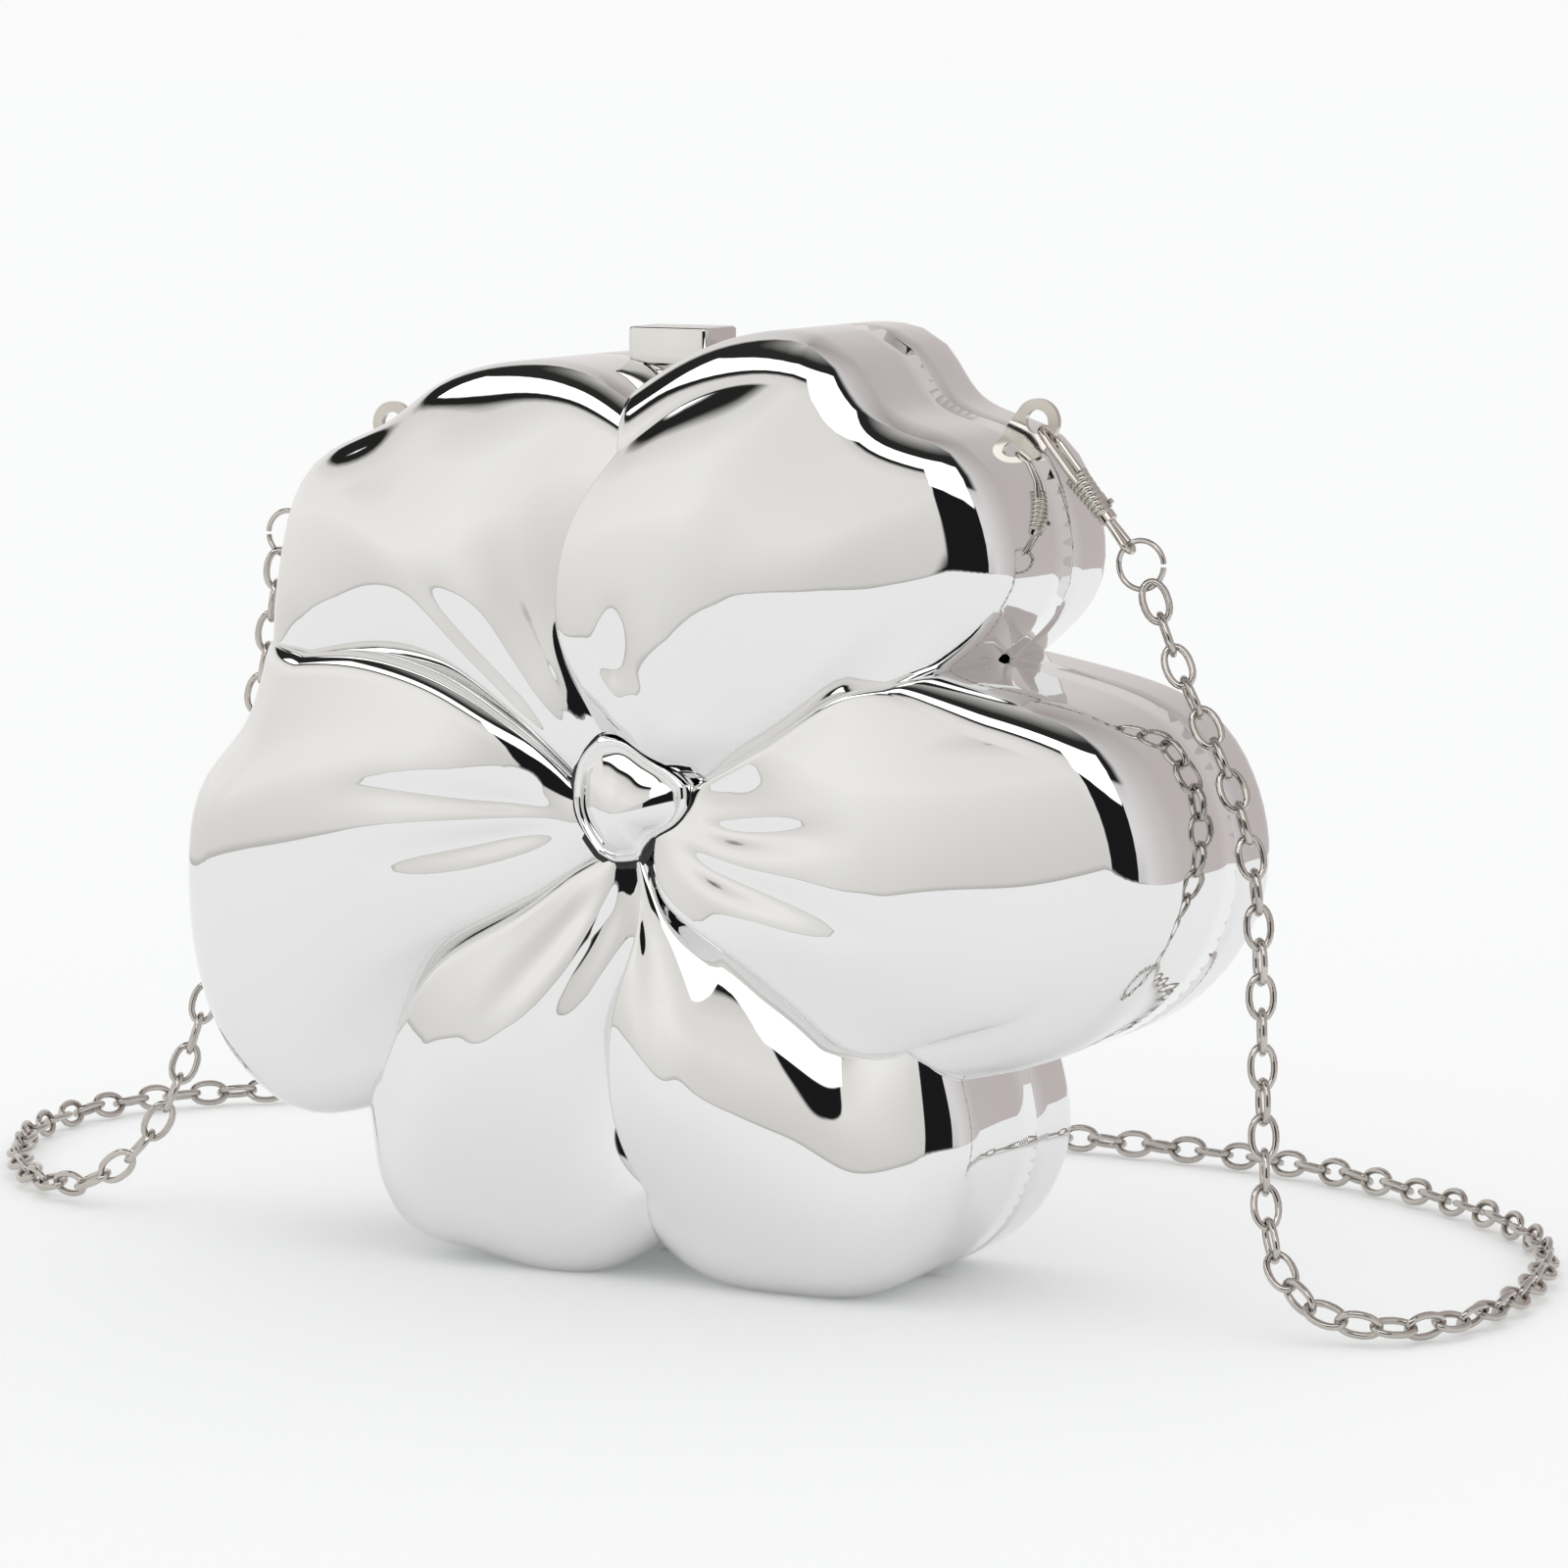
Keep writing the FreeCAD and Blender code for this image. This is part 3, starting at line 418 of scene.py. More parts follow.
def petalPoints(index, facing, relief, faceY, seamY, edgeRadius, curves, notchWays):
    # all points of one petal: face, rounded edge and side wall, row by row from the bud
    across = flower["across"]
    borders = []
    for k in (index, (index + 1) % 6):
        notch = outlineRow(k, np.array([0.0]), edgeRadius, curves, notchWays)[0]
        borders.append(fitCurve(flower["borders"][k] + [tuple(notch)]))
    inner = fitCurve(flower["budRim"][index])
    rows = []
    shareRows = []
    outShares = None
    fine = np.linspace(0, 1, 161)
    outerFine = outlineRow(index, fine, edgeRadius, curves, notchWays)
    innerFine = inner(fine)
    alongShares = np.linspace(0, 1, flower["along"] + 1) ** 0.9
    left = borders[0](alongShares)
    right = borders[1](alongShares)
    corners = (innerFine[0], innerFine[-1], outerFine[0], outerFine[-1])
    widths = []
    for v, a, b in zip(alongShares, left, right):
        u = fine[:, None]
        row = (1 - v) * innerFine + v * outerFine + (1 - u) * a + u * b
        row = row - ((1 - u) * (1 - v) * corners[0] + u * (1 - v) * corners[1]
                     + (1 - u) * v * corners[2] + u * v * corners[3])
        lengths = np.concatenate([[0], np.cumsum(np.linalg.norm(np.diff(row, axis=0), axis=1))])
        shares = columnShares(lengths[-1], across)
        place = np.interp(shares * lengths[-1], lengths, fine)
        rows.append(np.stack([np.interp(place, fine, row[:, 0]), np.interp(place, fine, row[:, 1])], 1))
        shareRows.append(shares)
        widths.append(lengths[-1])
        outShares = place
    rows = np.array(rows)
    heights = petalHeights(index, np.array(shareRows), alongShares[:, None],
                           np.array(widths)[:, None], relief)
    depth = faceY + facing * heights
    result = [np.stack([rows[:, :, 0], depth, rows[:, :, 1]], 2)]
    wallY = faceY - facing * edgeRadius
    lastStep = np.linalg.norm(rows[-1] - rows[-2], axis=1)
    slope = np.clip((heights[-2] - heights[-1]) / lastStep, -0.1, 1.2)
    faceHeight = facing * (depth[-1] - wallY)
    hold = flower["edgeHold"]
    for k in range(1, flower["edgeRings"] + 1):
        t = k / flower["edgeRings"]
        near, far, last = 3 * (1 - t) ** 2 * t, 3 * (1 - t) * t * t, t ** 3
        outward = near * hold + far + last
        bent = faceHeight - slope * hold * edgeRadius
        lift = (1 - t) ** 3 * faceHeight + near * bent + far * faceHeight * hold
        ring = outlineRow(index, outShares, edgeRadius * (1 - outward), curves, notchWays)
        y = wallY + facing * lift
        result.append(np.stack([ring[:, 0], y, ring[:, 1]], 1)[None])
    plain = outlineRow(index, outShares, 0.0, curves, notchWays)
    endY = seamY + facing * np.clip(flower["grooveTop"] - plain[:, 1], 0, None) * flower["grooveSlope"]
    for k in range(1, flower["wallRings"] + 1):
        y = wallY + (endY - wallY + facing * flower["lip"]) * k / flower["wallRings"]
        result.append(np.stack([plain[:, 0], y, plain[:, 1]], 1)[None])
    lipIn = outlineRow(index, outShares, flower["lip"], curves, notchWays)
    result.append(np.stack([lipIn[:, 0], endY, lipIn[:, 1]], 1)[None])
    return np.concatenate(result, 0)


def placeGrid(name, points):
    # a grid primitive whose vertices are then moved to their places, row by row
    rowCount, columnCount = points.shape[:2]
    deselectAll()
    bpy.ops.mesh.primitive_grid_add(x_subdivisions=columnCount - 1, y_subdivisions=rowCount - 1,
                                    size=1)
    grid = bpy.context.active_object
    grid.name = name
    grid.data.vertices.foreach_set("co", (points.reshape(-1, 3) * mm).ravel())
    grid.data.update()
    return grid


def budPoints(facing, relief, faceY):
    # the bud inside its rim, in rings from the rim to the middle
    rim = np.concatenate([fitCurve(points)(np.linspace(0, 1, flower["across"] + 1))[:-1]
                          for points in flower["budRim"]])
    rim = np.concatenate([rim, rim[:1]])
    middle = np.mean(rim[:-1], axis=0)
    rings = []
    for share, height in budProfile:
        ring = middle + (rim - middle) * share
        lift = (height + flower["lift"] - flower["recess"]) * relief
        y = np.full(len(ring), faceY + facing * lift)
        rings.append(np.stack([ring[:, 0], y, ring[:, 1]], 1))
    return np.array(rings)


def flowerSkin(name, faceY, seamY, facing, relief, edgeRadius):
    # the outer skin of one half, open at the seam
    curves, notchWays = outlineWays(flower["outlines"])
    pieces = []
    for index in range(6):
        points = petalPoints(index, facing, relief, faceY, seamY, edgeRadius, curves, notchWays)
        pieces.append(placeGrid(name + str(index), points))
    pieces.append(placeGrid(name + "Bud", budPoints(facing, relief, faceY)))
    skin = joinAll(pieces, name)
    return mergeAndFaceOut(skin, gap=2e-6)


def plainBlock(name, low, high, rounding=0.0, segments=3):
    # a box between two corners in millimetres, with its edges rounded
    deselectAll()
    bpy.ops.mesh.primitive_cube_add(size=1)
    block = bpy.context.active_object
    block.name = name
    low, high = Vector(low) * mm, Vector(high) * mm
    block.location = (low + high) / 2
    block.scale = high - low
    applyPlace(block)
    if rounding:
        bpy.ops.object.mode_set(mode="EDIT")
        bpy.ops.mesh.select_all(action="SELECT")
        bpy.ops.mesh.bevel(offset=rounding * mm, segments=segments, affect="EDGES")
        bpy.ops.object.mode_set(mode="OBJECT")
    return block


# seats moulded inside the shells: under each hinge leaf, and on top under the lock
seats = {
    "hingeMiddles": (-24.0, 26.0), "hingeHalf": 11.0, "hingeFrom": 1.9, "hingeReach": 12.0,
    "hingeHeights": (0.9, 4.0),
    "lockX": (-17.8, -1.0), "lockReach": 6.4, "lockHeights": (145.6, 149.8),
    "rounding": 0.3,
}


def moulding(side, seamY):
    # the seats of one half; side is -1 in front of the seam and 1 behind it
    blocks = []
    low, high = seats["hingeHeights"]
    for middle in seats["hingeMiddles"]:
        ends = sorted((seamY + side * seats["hingeFrom"], seamY + side * seats["hingeReach"]))
        blocks.append(plainBlock("seat", (middle - seats["hingeHalf"], ends[0], low),
                                 (middle + seats["hingeHalf"], ends[1], high), seats["rounding"], 2))
    left, right = seats["lockX"]
    low, high = seats["lockHeights"]
    ends = sorted((seamY, seamY + side * seats["lockReach"]))
    blocks.append(plainBlock("seat", (left, ends[0], low), (right, ends[1], high), seats["rounding"], 2))
    return blocks


def buildHalf(name, node, facing, relief, edgeRadius):
    # one half of the flower as a moulded shell. facing is -1 for the front and 1 for the back
    low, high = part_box(node)
    faceY = (low.y if facing < 0 else high.y) / mm
    seamY = (high.y if facing < 0 else low.y) / mm
    shell = flowerSkin(name, faceY, seamY, facing, relief, edgeRadius)
    wall = shell.modifiers.new("wall", "SOLIDIFY")
    wall.thickness = flower["wall"] * mm
    wall.offset = -1
    wall.use_quality_normals = True
    wall.use_rim = True
    applyModifiers(shell)
    shell = joinAll([shell] + moulding(facing, seamY), name)
    smoothAll(shell, flower["sharpAngle"])
    dress(shell, mirrorShell)
    return shell


def buildLiner(name, node, shellNode, facing, relief, edgeRadius):
    # the flocked tray inside one half, following the shell's relief
    low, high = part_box(shellNode)
    faceY = (low.y if facing < 0 else high.y) / mm
    linerLow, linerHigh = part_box(node)
    endY = (linerHigh.y if facing < 0 else linerLow.y) / mm
    tray = flowerSkin(name, faceY, endY, facing, relief, edgeRadius)
    inset = tray.modifiers.new("inset", "DISPLACE")
    inset.strength = -(flower["wall"] + flower["linerGap"]) * mm
    inset.mid_level = 0
    thick = tray.modifiers.new("thick", "SOLIDIFY")
    thick.thickness = flower["linerWall"] * mm
    thick.offset = -1
    applyModifiers(tray)
    smoothAll(tray, flower["sharpAngle"])
    dress(tray, darkSuede)
    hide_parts(node)
    return tray


# the back repeats the front's flower with flatter petals and a tighter edge
halves = {
    "front": {"facing": -1, "relief": 1.0, "edgeRadius": 8.0},
    "back": {"facing": 1, "relief": 0.5, "edgeRadius": 6.0},
}
for side, half in halves.items():
    shell = buildHalf(side + "Shell", side + "_shell", **half)
    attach(shell, side + "_half")
    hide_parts(side + "_shell")
for side, half in halves.items():
    liner = buildLiner(side + "Liner", side + "_liner", side + "_shell", **half)
    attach(liner, side + "_half")
print("stage: shells")


# lock lever
lever = {
    # roundings of the top's rim, the front corners and the heel, then the walls of its hollow
    "round": 0.55, "corner": 1.3, "heel": 1.7, "wall": 1.2, "top": 1.4,
    # the pin's distance from the back and the floor, how far the hollow stays in front of it
    # and the slot rises above it, and half the slot's width
    "pinBack": 1.9, "pinUp": 1.8, "setback": 2.0, "slotHalf": 3.7, "sharpAngle": 35,
}


def cutAway(block, low, high):
    # takes a plain box out of a piece
    cutter = plainBlock("cutter", low, high)
    pickOnly(block)
    cut = block.modifiers.new("cut", "BOOLEAN")
    cut.operation = "DIFFERENCE"
    cut.solver = "EXACT"
    cut.object = cutter
    applyModifiers(block)
    pickOnly(cutter)
    bpy.ops.object.delete()


def buildLever():
    low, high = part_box("lock_lever")
    low, high = low / mm, high / mm
    block = plainBlock("lockLever", low, high)
    back, floor, top = high.y * mm, low.z * mm, high.z * mm
    wanted = (
        # upright corners, the heel that turns about the pin, then the rim of the top
        (lever["corner"],
         lambda a, b: abs(a.z - b.z) > (top - floor) * 0.9 and min(a.y, b.y) < back - 1e-5),
        (lever["heel"], lambda a, b: max(a.z, b.z) < floor + 1e-6 and min(a.y, b.y) > back - 1e-6),
        (lever["round"], lambda a, b: min(a.z, b.z) > top - 1e-6),
    )
    pickOnly(block)
    bpy.ops.object.mode_set(mode="EDIT")
    for width, test in wanted:
        bpy.ops.mesh.select_all(action="DESELECT")
        mesh = bmesh.from_edit_mesh(block.data)
        for edge in mesh.edges:
            if test(edge.verts[0].co, edge.verts[1].co):
                edge.select_set(True)
        bmesh.update_edit_mesh(block.data)
        bpy.ops.mesh.bevel(offset=width * mm, segments=6, affect="EDGES")
    bpy.ops.object.mode_set(mode="OBJECT")
    middle = (low.x + high.x) / 2
    hollowBack = high.y - lever["pinBack"] - lever["setback"]
    cutAway(block, (low.x + lever["wall"], low.y + lever["wall"], low.z - 1),
            (high.x - lever["wall"], hollowBack, high.z - lever["top"]))
    cutAway(block, (middle - lever["slotHalf"], hollowBack - 0.2, low.z - 1),
            (middle + lever["slotHalf"], high.y + 1, low.z + lever["pinUp"] + lever["setback"]))
    smoothAll(block, lever["sharpAngle"])
    dress(block, lockPlate)
    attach(block, "lock_lever")
    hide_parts("lock_lever")
    return block


buildLever()
print("stage: lock")


# snap hooks and rings
hooks = {
    "y": 6.7,
    "right": {"hole": (55.8, 142.6), "ring": (74.2, 120.0), "split": 1},
    "left": {"hole": (-65.6, 138.9), "ring": (-87.0, 119.2), "split": -1},
    "bendSetback": 1.25, "wire": 0.62, "barHalf": 1.9, "tip": 1.2,
    "grip": (9.6, 17.8), "gripWide": (2.1, 1.35), "gripOut": 2.0, "ribs": 9, "ribDepth": 0.26,
    "collarEnd": 19.2, "collarRadius": 1.5,
    "eyeEnd": 25.1, "eyeHalf": 1.45, "eyeNeck": 0.75, "eyeWire": 0.6,
    "ringRadius": 3.95, "ringWire": 0.47, "ringTurn": 352,
    # the gate's bar, thumb pad and heel
    "barWide": 0.5, "barDeep": 0.75, "thumbWide": (1.3, 1.2), "thumbRibs": 5, "thumbDepth": 0.2,
    "heelX": (0.7, 2.0), "heelHalf": 1.2,
    "sharpAngle": 40,
}


def hookFrame(side):
    # local Z runs along the clasp from its bend to its eye, and local X is front to back
    hole = Vector((hooks[side]["hole"][0], hooks["y"], hooks[side]["hole"][1]))
    ring = Vector((hooks[side]["ring"][0], hooks["y"], hooks[side]["ring"][1]))
    along = (ring - hole).normalized()
    across = Vector((0, 1, 0))
    return np.array([across, along.cross(across), along]), np.array(hole + along * hooks["bendSetback"])


def loopSolid(name, rings):
    # a closed solid through a row of closed rings, capped at both ends
    rings = np.array(rings, float)
    rings = np.concatenate([rings, rings[:, :1]], axis=1)
    caps = [np.broadcast_to(ring[:-1].mean(axis=0), rings[:1].shape) for ring in (rings[0], rings[-1])]
    return mergeAndFaceOut(placeGrid(name, np.concatenate([caps[0], rings, caps[1]], 0)))


def wireSolid(name, path, radius, flat, steps=14):
    # round wire along a path that lies in one plane; flat is that plane's normal
    path = np.array(path, float)
    flat = np.array(flat, float)
    ways = np.gradient(path, axis=0)
    ways /= np.linalg.norm(ways, axis=1)[:, None]
    rings = []
    for place, way in zip(path, ways):
        side = np.cross(way, flat)
        rings.append([place + radius * (math.cos(t) * side + math.sin(t) * flat)
                      for t in np.linspace(0, 2 * math.pi, steps, endpoint=False)])
    return loopSolid(name, rings)


def arcPoints(center, radius, start, end, steps):
    angles = np.radians(np.linspace(start, end, steps))
    return [(center[0] + radius * math.cos(a), 0, center[1] + radius * math.sin(a)) for a in angles]


def ribbedPad(name, innerX, outerX, wides, start, end, ribs, depth):
    # a domed pad with ribs across it, from innerX out to outerX
    rings = []
    steps = ribs * 8
    for k in range(steps + 1):
        share = k / steps
        wide = wides[0] + (wides[1] - wides[0]) * share
        rib = abs(math.sin(math.pi * ribs * share)) ** 0.6
        rim = min(1, math.sin(math.pi * min(max(share, 0.012), 0.988)) * 5)
        valley = math.copysign(depth, outerX - innerX) * (1 - rib)
        reach = (outerX - innerX) * (0.86 + 0.14 * rim) - valley
        z = start + (end - start) * share
        ring = []
        for a in np.linspace(0, math.pi, 15):
            sideways = -wide * math.cos(a) * (0.94 + 0.06 * rib)
            ring.append((innerX + reach * math.sin(a) ** 0.55, sideways, z))
        rings.append(ring)
    return loopSolid(name, rings)


def toSide(piece, side):
    turn, origin = hookFrame(side)
    coords = np.empty(len(piece.data.vertices) * 3)
    piece.data.vertices.foreach_get("co", coords)
    coords = coords.reshape(-1, 3) @ turn + origin * mm
    piece.data.vertices.foreach_set("co", coords.ravel())
    piece.data.update()
    return mergeAndFaceOut(piece)


def buildHook(side):
    half, wire = hooks["barHalf"], hooks["wire"]
    gripStart, gripEnd = hooks["grip"]
    path = [(-half, 0, z) for z in np.linspace(gripStart + 1.5, half, 8)]
    path += arcPoints((0, half), half, 180, 360, 17)[1:]
    path += [(half, 0, half + hooks["tip"])]
    body = [wireSolid("bow", path, wire, (0, 1, 0))]
    body.append(ribbedPad("grip", -0.05, -hooks["gripOut"], hooks["gripWide"], gripStart, gripEnd,
                          hooks["ribs"], hooks["ribDepth"]))
    collar = [[(radius * math.cos(t), radius * math.sin(t), z)
               for t in np.linspace(0, 2 * math.pi, 24, endpoint=False)]
              for radius, z in ((1.3, gripEnd - 0.4), (hooks["collarRadius"], gripEnd - 0.2),
                                (hooks["collarRadius"], hooks["collarEnd"] - 0.2),
                                (1.25, hooks["collarEnd"]))]
    body.append(loopSolid("collar", collar))
    turnZ = hooks["eyeEnd"] - hooks["eyeHalf"]
    eye = [(-hooks["eyeNeck"], 0, hooks["collarEnd"] - 0.5)]
    eye += arcPoints((0, turnZ), hooks["eyeHalf"], 180, 0, 19)
    eye += [(hooks["eyeNeck"], 0, hooks["collarEnd"] - 0.5)]
    body.append(wireSolid("eye", eye, hooks["eyeWire"], (0, 1, 0)))
    bodyPiece = toSide(joinAll(body, "hook" + side.title()), side)
    barZ = [half + hooks["tip"] + 0.2, gripStart + 0.8]
    bar = [[(half + hooks["barWide"] * math.cos(t), hooks["barDeep"] * math.sin(t), z)
            for t in np.linspace(0, 2 * math.pi, 14, endpoint=False)] for z in barZ]
    gate = [loopSolid("bar", bar)]
    gate.append(ribbedPad("thumb", 1.2, 2.65, hooks["thumbWide"], gripStart, gripEnd - 3.0,
                          hooks["thumbRibs"], hooks["thumbDepth"]))
    (near, far), wide = hooks["heelX"], hooks["heelHalf"]
    gate.append(loopSolid("heel", [[(near, -wide, z), (far, -wide, z), (far, wide, z), (near, wide, z)]
                                   for z in (gripEnd - 3.6, gripEnd - 1.5)]))
    gatePiece = toSide(joinAll(gate, "gate" + side.title()), side)
    for piece, node, host in ((bodyPiece, "clasp_body_", "back_half"),
                              (gatePiece, "clasp_gate_", "gate_" + side)):
        smoothAll(piece, hooks["sharpAngle"])
        dress(piece, polishedNickel)
        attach(piece, host)
        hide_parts(node + side)
    return bodyPiece, gatePiece


def buildRing(side):
    # the split jump ring between the clasp's eye and the first link
    spec = hooks[side]
    start = 4 if spec["split"] > 0 else 184
    path = np.array(arcPoints(spec["ring"], hooks["ringRadius"], start, start + hooks["ringTurn"], 61))
    path[:, 1] += hooks["y"]
    ring = wireSolid("ring" + side.title(), path, hooks["ringWire"], (0, 1, 0))
    smoothAll(ring, hooks["sharpAngle"])
    dress(ring, chainNickel)
    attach(ring, "back_half")
    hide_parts("jump_ring_" + side)
    return ring


onStrap = []
for side in ("left", "right"):
    onStrap += [*buildHook(side), buildRing(side)]
    onStrap += [frame["nodes"][node + side] for node in ("gate_rivet_", "gate_spring_")]
print("stage: snap hooks")


# chain strap
strap = {
    "route": [
        (76.3, 6, 116.4), (81.5, 5, 103.0), (90.5, 2.5, 90.0), (97.2, 0.5, 74.0),
        (99.0, -1, 54.0), (100.0, -2.5, 39.5), (101.2, -4.5, 27.0), (103.2, -7.8, 15.5),
        (108.5, -12, 7.5), (117.5, -14.8, 3.8), (127.0, -11, 2.8), (133.0, -1.0, 2.8),
        (135.3, 12.5, 2.8), (134.3, 31, 2.8),
        (128.5, 55, 2.8), (117.0, 74, 2.8), (100.5, 90, 2.8), (82.0, 102.0, 2.8),
        (62.0, 112, 2.8), (39.0, 117.5, 2.8), (10.0, 119.0, 2.8), (-22.0, 123.0, 2.8),
        (-58.0, 124.0, 2.8), (-92.0, 119.5, 2.8), (-124.0, 110.0, 2.8), (-149.5, 95.0, 2.8),
        (-163.5, 77.5, 2.8), (-168.0, 58.0, 2.8), (-164.0, 38.5, 2.8), (-154.5, 20.0, 2.8),
        (-142.5, 4.0, 2.8), (-131.5, -4.5, 2.8), (-119.5, -7.5, 4.2), (-109.5, -4.5, 12.5),
        (-104.5, 0.0, 26.5), (-101.0, 4.0, 44.0), (-98.0, 6, 64.0), (-94.8, 6, 83.0),
        (-90.4, 6, 101.0), (-88.3, 6, 115.3),
    ],
    "linkLength": 8.0, "linkWidth": 5.25, "wire": 1.2, "ovalPower": 0.75,
    # in pitches: where the first link's middle is, and how much shorter the chain is than its count
    "firstLink": 0.42, "shortOfPitch": 0.16,
    # extra turn of the links by the start, in degrees, the metres it fades over, and random turn
    "startTwist": 28, "twistFade": 0.05, "wobble": 9,
    "pathSteps": 22, "wireSteps": 8,
}


def splinePoints(route):
    # close points along a smooth NURBS line through the route
    curve = bpy.data.curves.new("strapRoute", "CURVE")
    curve.dimensions = "3D"
    curve.resolution_u = 24
    spline = curve.splines.new("NURBS")
    spline.points.add(len(route) - 1)
    for point, place in zip(spline.points, route):
        point.co = (*[value * mm for value in place], 1)
    spline.order_u = 3
    spline.use_endpoint_u = True
    holder = bpy.data.objects.new("strapRoute", curve)
    bpy.context.scene.collection.objects.link(holder)
    bpy.context.view_layer.update()
    mesh = bpy.data.meshes.new_from_object(holder)
    points = np.array([vertex.co for vertex in mesh.vertices])
    bpy.data.objects.remove(holder)
    bpy.data.meshes.remove(mesh)
    return points


def linkTemplate():
    # one oval link along X, lying in XY, with its middle at the origin
    half = (strap["linkLength"] - strap["wire"]) / 2 * mm
    side = (strap["linkWidth"] - strap["wire"]) / 2 * mm
    deselectAll()
    bpy.ops.mesh.primitive_torus_add(
        major_radius=side, minor_radius=strap["wire"] / 2 * mm,
        major_segments=strap["pathSteps"], minor_segments=strap["wireSteps"])
    link = bpy.context.active_object
    for vertex in link.data.vertices:
        angle = math.atan2(vertex.co.y, vertex.co.x)
        stretch = abs(math.cos(angle)) ** strap["ovalPower"]
        vertex.co.x += (half - side) * math.copysign(stretch, math.cos(angle))
    return link


def buildChain():
    path = splinePoints(strap["route"])
    lengths = np.concatenate([[0], np.cumsum(np.linalg.norm(np.diff(path, axis=0), axis=1))])
    total = lengths[-1]
    pitch = (strap["linkLength"] - 2 * strap["wire"]) * mm
    count = int(round(total / pitch + strap["shortOfPitch"]))
    pitch = total / (count - strap["shortOfPitch"])
    link = linkTemplate()
    shape = np.array([vertex.co for vertex in link.data.vertices])
    faces = [tuple(polygon.vertices) for polygon in link.data.polygons]
    vertices = []
    polygons = []
    side = Vector((0, 1, 0))
    wobble = strap["wobble"]

    def pointAt(way):
        return np.array([np.interp(way, lengths, path[:, axis]) for axis in range(3)])

    for k in range(count):
        at = (k + strap["firstLink"]) * pitch
        along = (Vector(pointAt(at + pitch * 0.5)) - Vector(pointAt(at - pitch * 0.5))).normalized()
        side = (side - along * side.dot(along)).normalized()
        up = along.cross(side)
        twist = strap["startTwist"] * math.exp(-at / strap["twistFade"])
        roll = math.radians(45 + 90 * (k % 2) + twist + rng.uniform(-wobble, wobble))
        across = side * math.cos(roll) + up * math.sin(roll)
        third = along.cross(across)
        turn = np.array([along, across, third])
        start = len(vertices)
        vertices.extend((shape @ turn + pointAt(at)).tolist())
        polygons.extend(tuple(start + v for v in face) for face in faces)
    bpy.data.objects.remove(link)
    mesh = bpy.data.meshes.new("strapChain")
    mesh.from_pydata(vertices, [], polygons)
    chain = bpy.data.objects.new("strapChain", mesh)
    bpy.context.scene.collection.objects.link(chain)
    smoothAll(chain)
    return chain, path, total, count


chain, chainPath, chainLength, linkCount = buildChain()
dress(chain, chainNickel)
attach(chain, "back_half")
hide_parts("strap_chain")
print("stage: chain", linkCount, "links,", round(chainLength, 4), "m")


# studio
studio = {
    "azimuth": 27.0, "elevation": 7.0, "distance": 1.0, "lens": 138.5,
    "aim": (0.0129, 0.0, 0.0817),
    "floorSize": 60, "floorTint": (0.88, 0.885, 0.885, 1), "floorRoughness": 0.7,
    "floorGlow": (0.93, 0.95, 0.95, 1), "floorGlowStrength": 0.12,
}


def addMath(nodes, links, operation, first, second=None):
    node = nodes.new("ShaderNodeMath")
    node.operation = operation
    for socket, value in zip(node.inputs, (first, second)):
        if value is None:
            continue
        if isinstance(value, (int, float)):
            socket.default_value = value
        else:
            links.new(value, socket)
    return node.outputs[0]


def addBand(nodes, links, value, low, high, soft):
    # 1 between low and high, falling smoothly to 0 over the soft distance outside them
    parts = []
    for start, end in ((low - soft, low), (high + soft, high)):
        step = nodes.new("ShaderNodeMapRange")
        step.interpolation_type = "SMOOTHSTEP"
        step.inputs["From Min"].default_value = start
        step.inputs["From Max"].default_value = end
        links.new(value, step.inputs["Value"])
        parts.append(step.outputs["Result"])
    return addMath(nodes, links, "MULTIPLY", parts[0], parts[1])


def addStops(nodes, links, value, low, high, stops):
    # a colour ramp over a value in degrees, with stops given in degrees
    share = nodes.new("ShaderNodeMapRange")
    share.inputs["From Min"].default_value = low
    share.inputs["From Max"].default_value = high
    links.new(value, share.inputs["Value"])
    ramp = nodes.new("ShaderNodeValToRGB")
    elements = ramp.color_ramp.elements
    while len(elements) < len(stops):
        elements.new(0.5)
    for element, (angle, color) in zip(elements, stops):
        element.position = (angle - low) / (high - low)
        element.color = (*color, 1)
    links.new(share.outputs["Result"], ramp.inputs["Fac"])
    return ramp.outputs["Color"]


def addMix(nodes, links, factor, first, second):
    mix = nodes.new("ShaderNodeMix")
    mix.data_type = "RGBA"
    links.new(factor, mix.inputs["Factor"])
    for socket, value in ((mix.inputs["A"], first), (mix.inputs["B"], second)):
        if isinstance(value, tuple):
            socket.default_value = (*value, 1)
        else:
            links.new(value, socket)
    return mix.outputs["Result"]


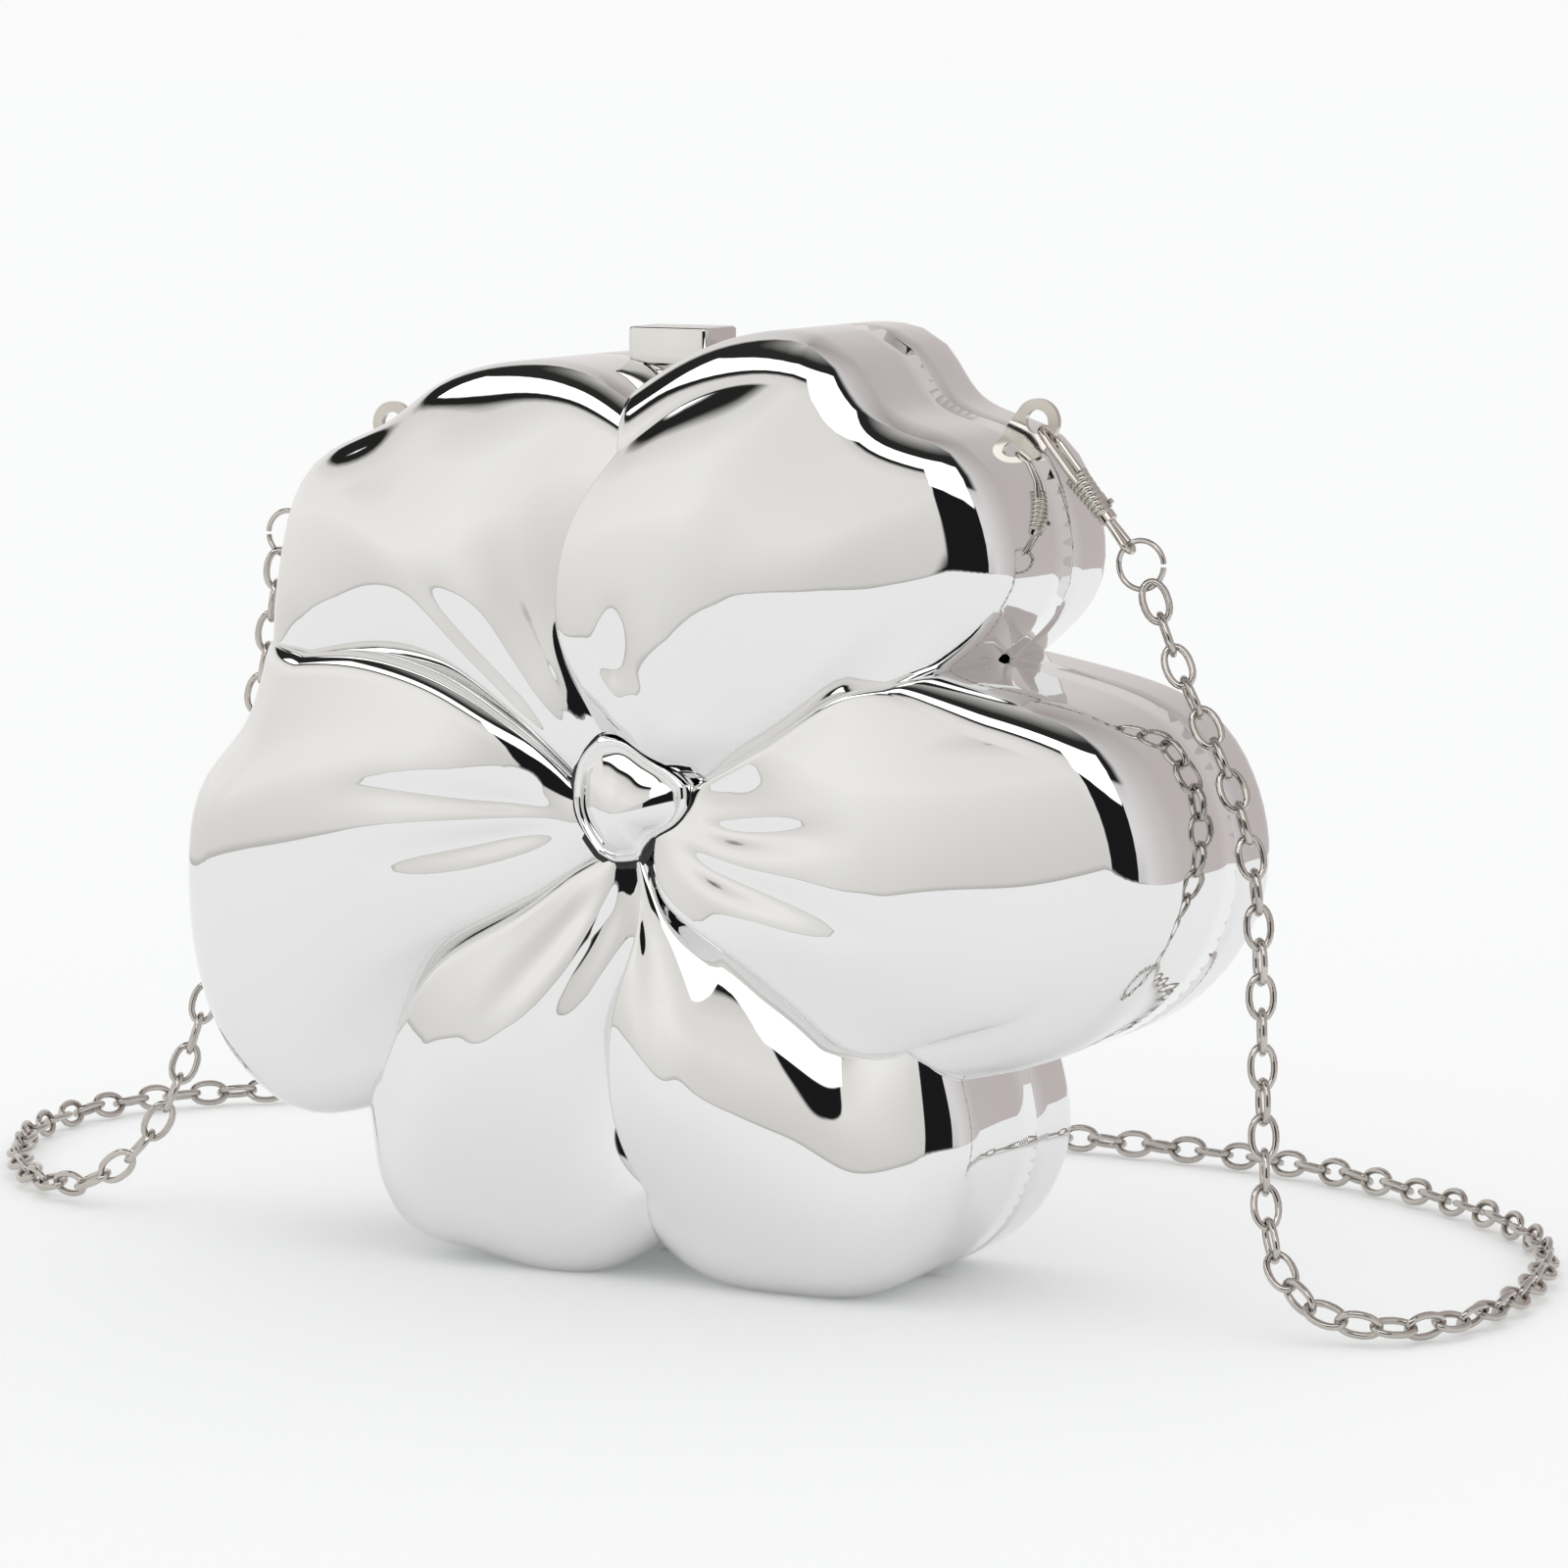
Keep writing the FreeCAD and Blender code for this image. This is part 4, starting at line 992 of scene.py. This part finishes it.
def roomMaterial():
    # the studio seen from the bag, painted by azimuth (0 in front, 90 to the right) and elevation
    material = bpy.data.materials.new("studioRoom")
    material.use_nodes = True
    nodes = material.node_tree.nodes
    links = material.node_tree.links
    nodes.clear()
    output = nodes.new("ShaderNodeOutputMaterial")
    glow = nodes.new("ShaderNodeEmission")
    coords = nodes.new("ShaderNodeTexCoord")
    axes = nodes.new("ShaderNodeSeparateXYZ")
    links.new(coords.outputs["Object"], axes.inputs["Vector"])
    x, y, z = (axes.outputs[name] for name in "XYZ")
    toDegrees = 180 / math.pi
    across = addMath(nodes, links, "ARCTAN2", x, addMath(nodes, links, "MULTIPLY", y, -1.0))
    azimuth = addMath(nodes, links, "MULTIPLY", across, toDegrees)
    squares = [addMath(nodes, links, "MULTIPLY", value, value) for value in (x, y)]
    flat = addMath(nodes, links, "SQRT", addMath(nodes, links, "ADD", *squares))
    rise = addMath(nodes, links, "ARCTAN2", z, flat)
    elevation = addMath(nodes, links, "MULTIPLY", rise, toDegrees)
    walls = addStops(nodes, links, azimuth, -180, 180, room["walls"])
    frontTone = addStops(nodes, links, elevation, 0, 90, room["frontTone"])
    backTone = addStops(nodes, links, elevation, 0, 90, room["backTone"])
    isFront = addBand(nodes, links, azimuth, *room["front"])
    tone = addMix(nodes, links, isFront, backTone, frontTone)
    painted = nodes.new("ShaderNodeMix")
    painted.data_type = "RGBA"
    painted.blend_type = "MULTIPLY"
    painted.inputs["Factor"].default_value = 1.0
    links.new(walls, painted.inputs["A"])
    links.new(tone, painted.inputs["B"])
    color = painted.outputs["Result"]
    for (left, right, low, high, soft), shade in room["patches"]:
        mask = addMath(nodes, links, "MULTIPLY",
                       addBand(nodes, links, azimuth, left, right, soft),
                       addBand(nodes, links, elevation, low, high, soft))
        color = addMix(nodes, links, mask, color, shade)
    links.new(color, glow.inputs["Color"])
    links.new(glow.outputs["Emission"], output.inputs["Surface"])
    return material


room = {
    "radius": 0.6,
    # the front side's azimuths from and to, and how softly it ends
    "front": (-110, 58, 14),
    # wall colour by azimuth, then its tone by elevation in front and behind
    "walls": [
        (-180, (0.62, 0.57, 0.565)), (-150, (0.78, 0.76, 0.75)), (-110, (0.94, 0.93, 0.91)),
        (-60, (0.93, 0.915, 0.885)), (-28, (0.97, 0.96, 0.93)), (-4, (0.86, 0.845, 0.815)),
        (58, (0.80, 0.79, 0.79)), (100, (0.66, 0.62, 0.62)), (150, (0.56, 0.50, 0.50)),
        (180, (0.62, 0.57, 0.565)),
    ],
    "frontTone": [
        (0, (0.56,) * 3), (0.9, (0.84,) * 3), (7, (0.90,) * 3), (18, (1.02,) * 3), (30, (0.99,) * 3),
        (38, (0.84,) * 3), (40.5, (0.02,) * 3), (66, (0.03,) * 3), (80, (0.45,) * 3), (90, (0.7,) * 3),
    ],
    "backTone": [(0, (1.05,) * 3), (30, (1.0,) * 3), (60, (0.9,) * 3), (90, (0.7,) * 3)],
    # azimuth from and to, elevation from and to, softness, then colour: the dark side, then the lights
    "patches": [
        ((6, 50, 1.0, 28, 1.2), (0.012, 0.012, 0.013)),
        ((4, 48, 28, 46, 1.0), (1.7, 1.7, 1.7)),
        ((-75, 48, 44, 56, 1.0), (1.9, 1.9, 1.9)),
    ],
}


def buildStudio():
    deselectAll()
    bpy.ops.mesh.primitive_plane_add(size=studio["floorSize"], location=(0, 0, 0))
    floor = bpy.context.active_object
    floor.name = "floor"
    material, *_, shader = newMaterial("paleFloor")
    shader.inputs["Base Color"].default_value = studio["floorTint"]
    shader.inputs["Roughness"].default_value = studio["floorRoughness"]
    shader.inputs["Specular IOR Level"].default_value = 0.0
    shader.inputs["Emission Color"].default_value = studio["floorGlow"]
    shader.inputs["Emission Strength"].default_value = studio["floorGlowStrength"]
    dress(floor, material)
    deselectAll()
    bpy.ops.mesh.primitive_uv_sphere_add(segments=64, ring_count=32, radius=room["radius"])
    dome = bpy.context.active_object
    dome.name = "studioRoom"
    dress(dome, roomMaterial())
    dome.visible_camera = False
    dome.visible_diffuse = False
    dome.visible_shadow = False
    world = bpy.data.worlds.new("paleRoom")
    world.use_nodes = True
    background = world.node_tree.nodes["Background"]
    background.inputs["Color"].default_value = (0.96, 0.96, 0.96, 1)
    background.inputs["Strength"].default_value = 1.0
    bpy.context.scene.world = world


def buildCamera():
    a = math.radians(studio["azimuth"])
    e = math.radians(studio["elevation"])
    back = Vector((math.sin(a) * math.cos(e), -math.cos(a) * math.cos(e), math.sin(e)))
    deselectAll()
    bpy.ops.object.camera_add(location=Vector(studio["aim"]) + back * studio["distance"])
    camera = bpy.context.active_object
    camera.rotation_euler = back.to_track_quat("Z", "Y").to_euler()
    camera.data.lens = studio["lens"]
    camera.data.sensor_width = 36
    camera.data.clip_start = 0.05
    bpy.context.scene.camera = camera


buildStudio()
buildCamera()
bpy.context.scene.view_settings.view_transform = "Standard"
print("stage: studio")

bpy.context.view_layer.update()
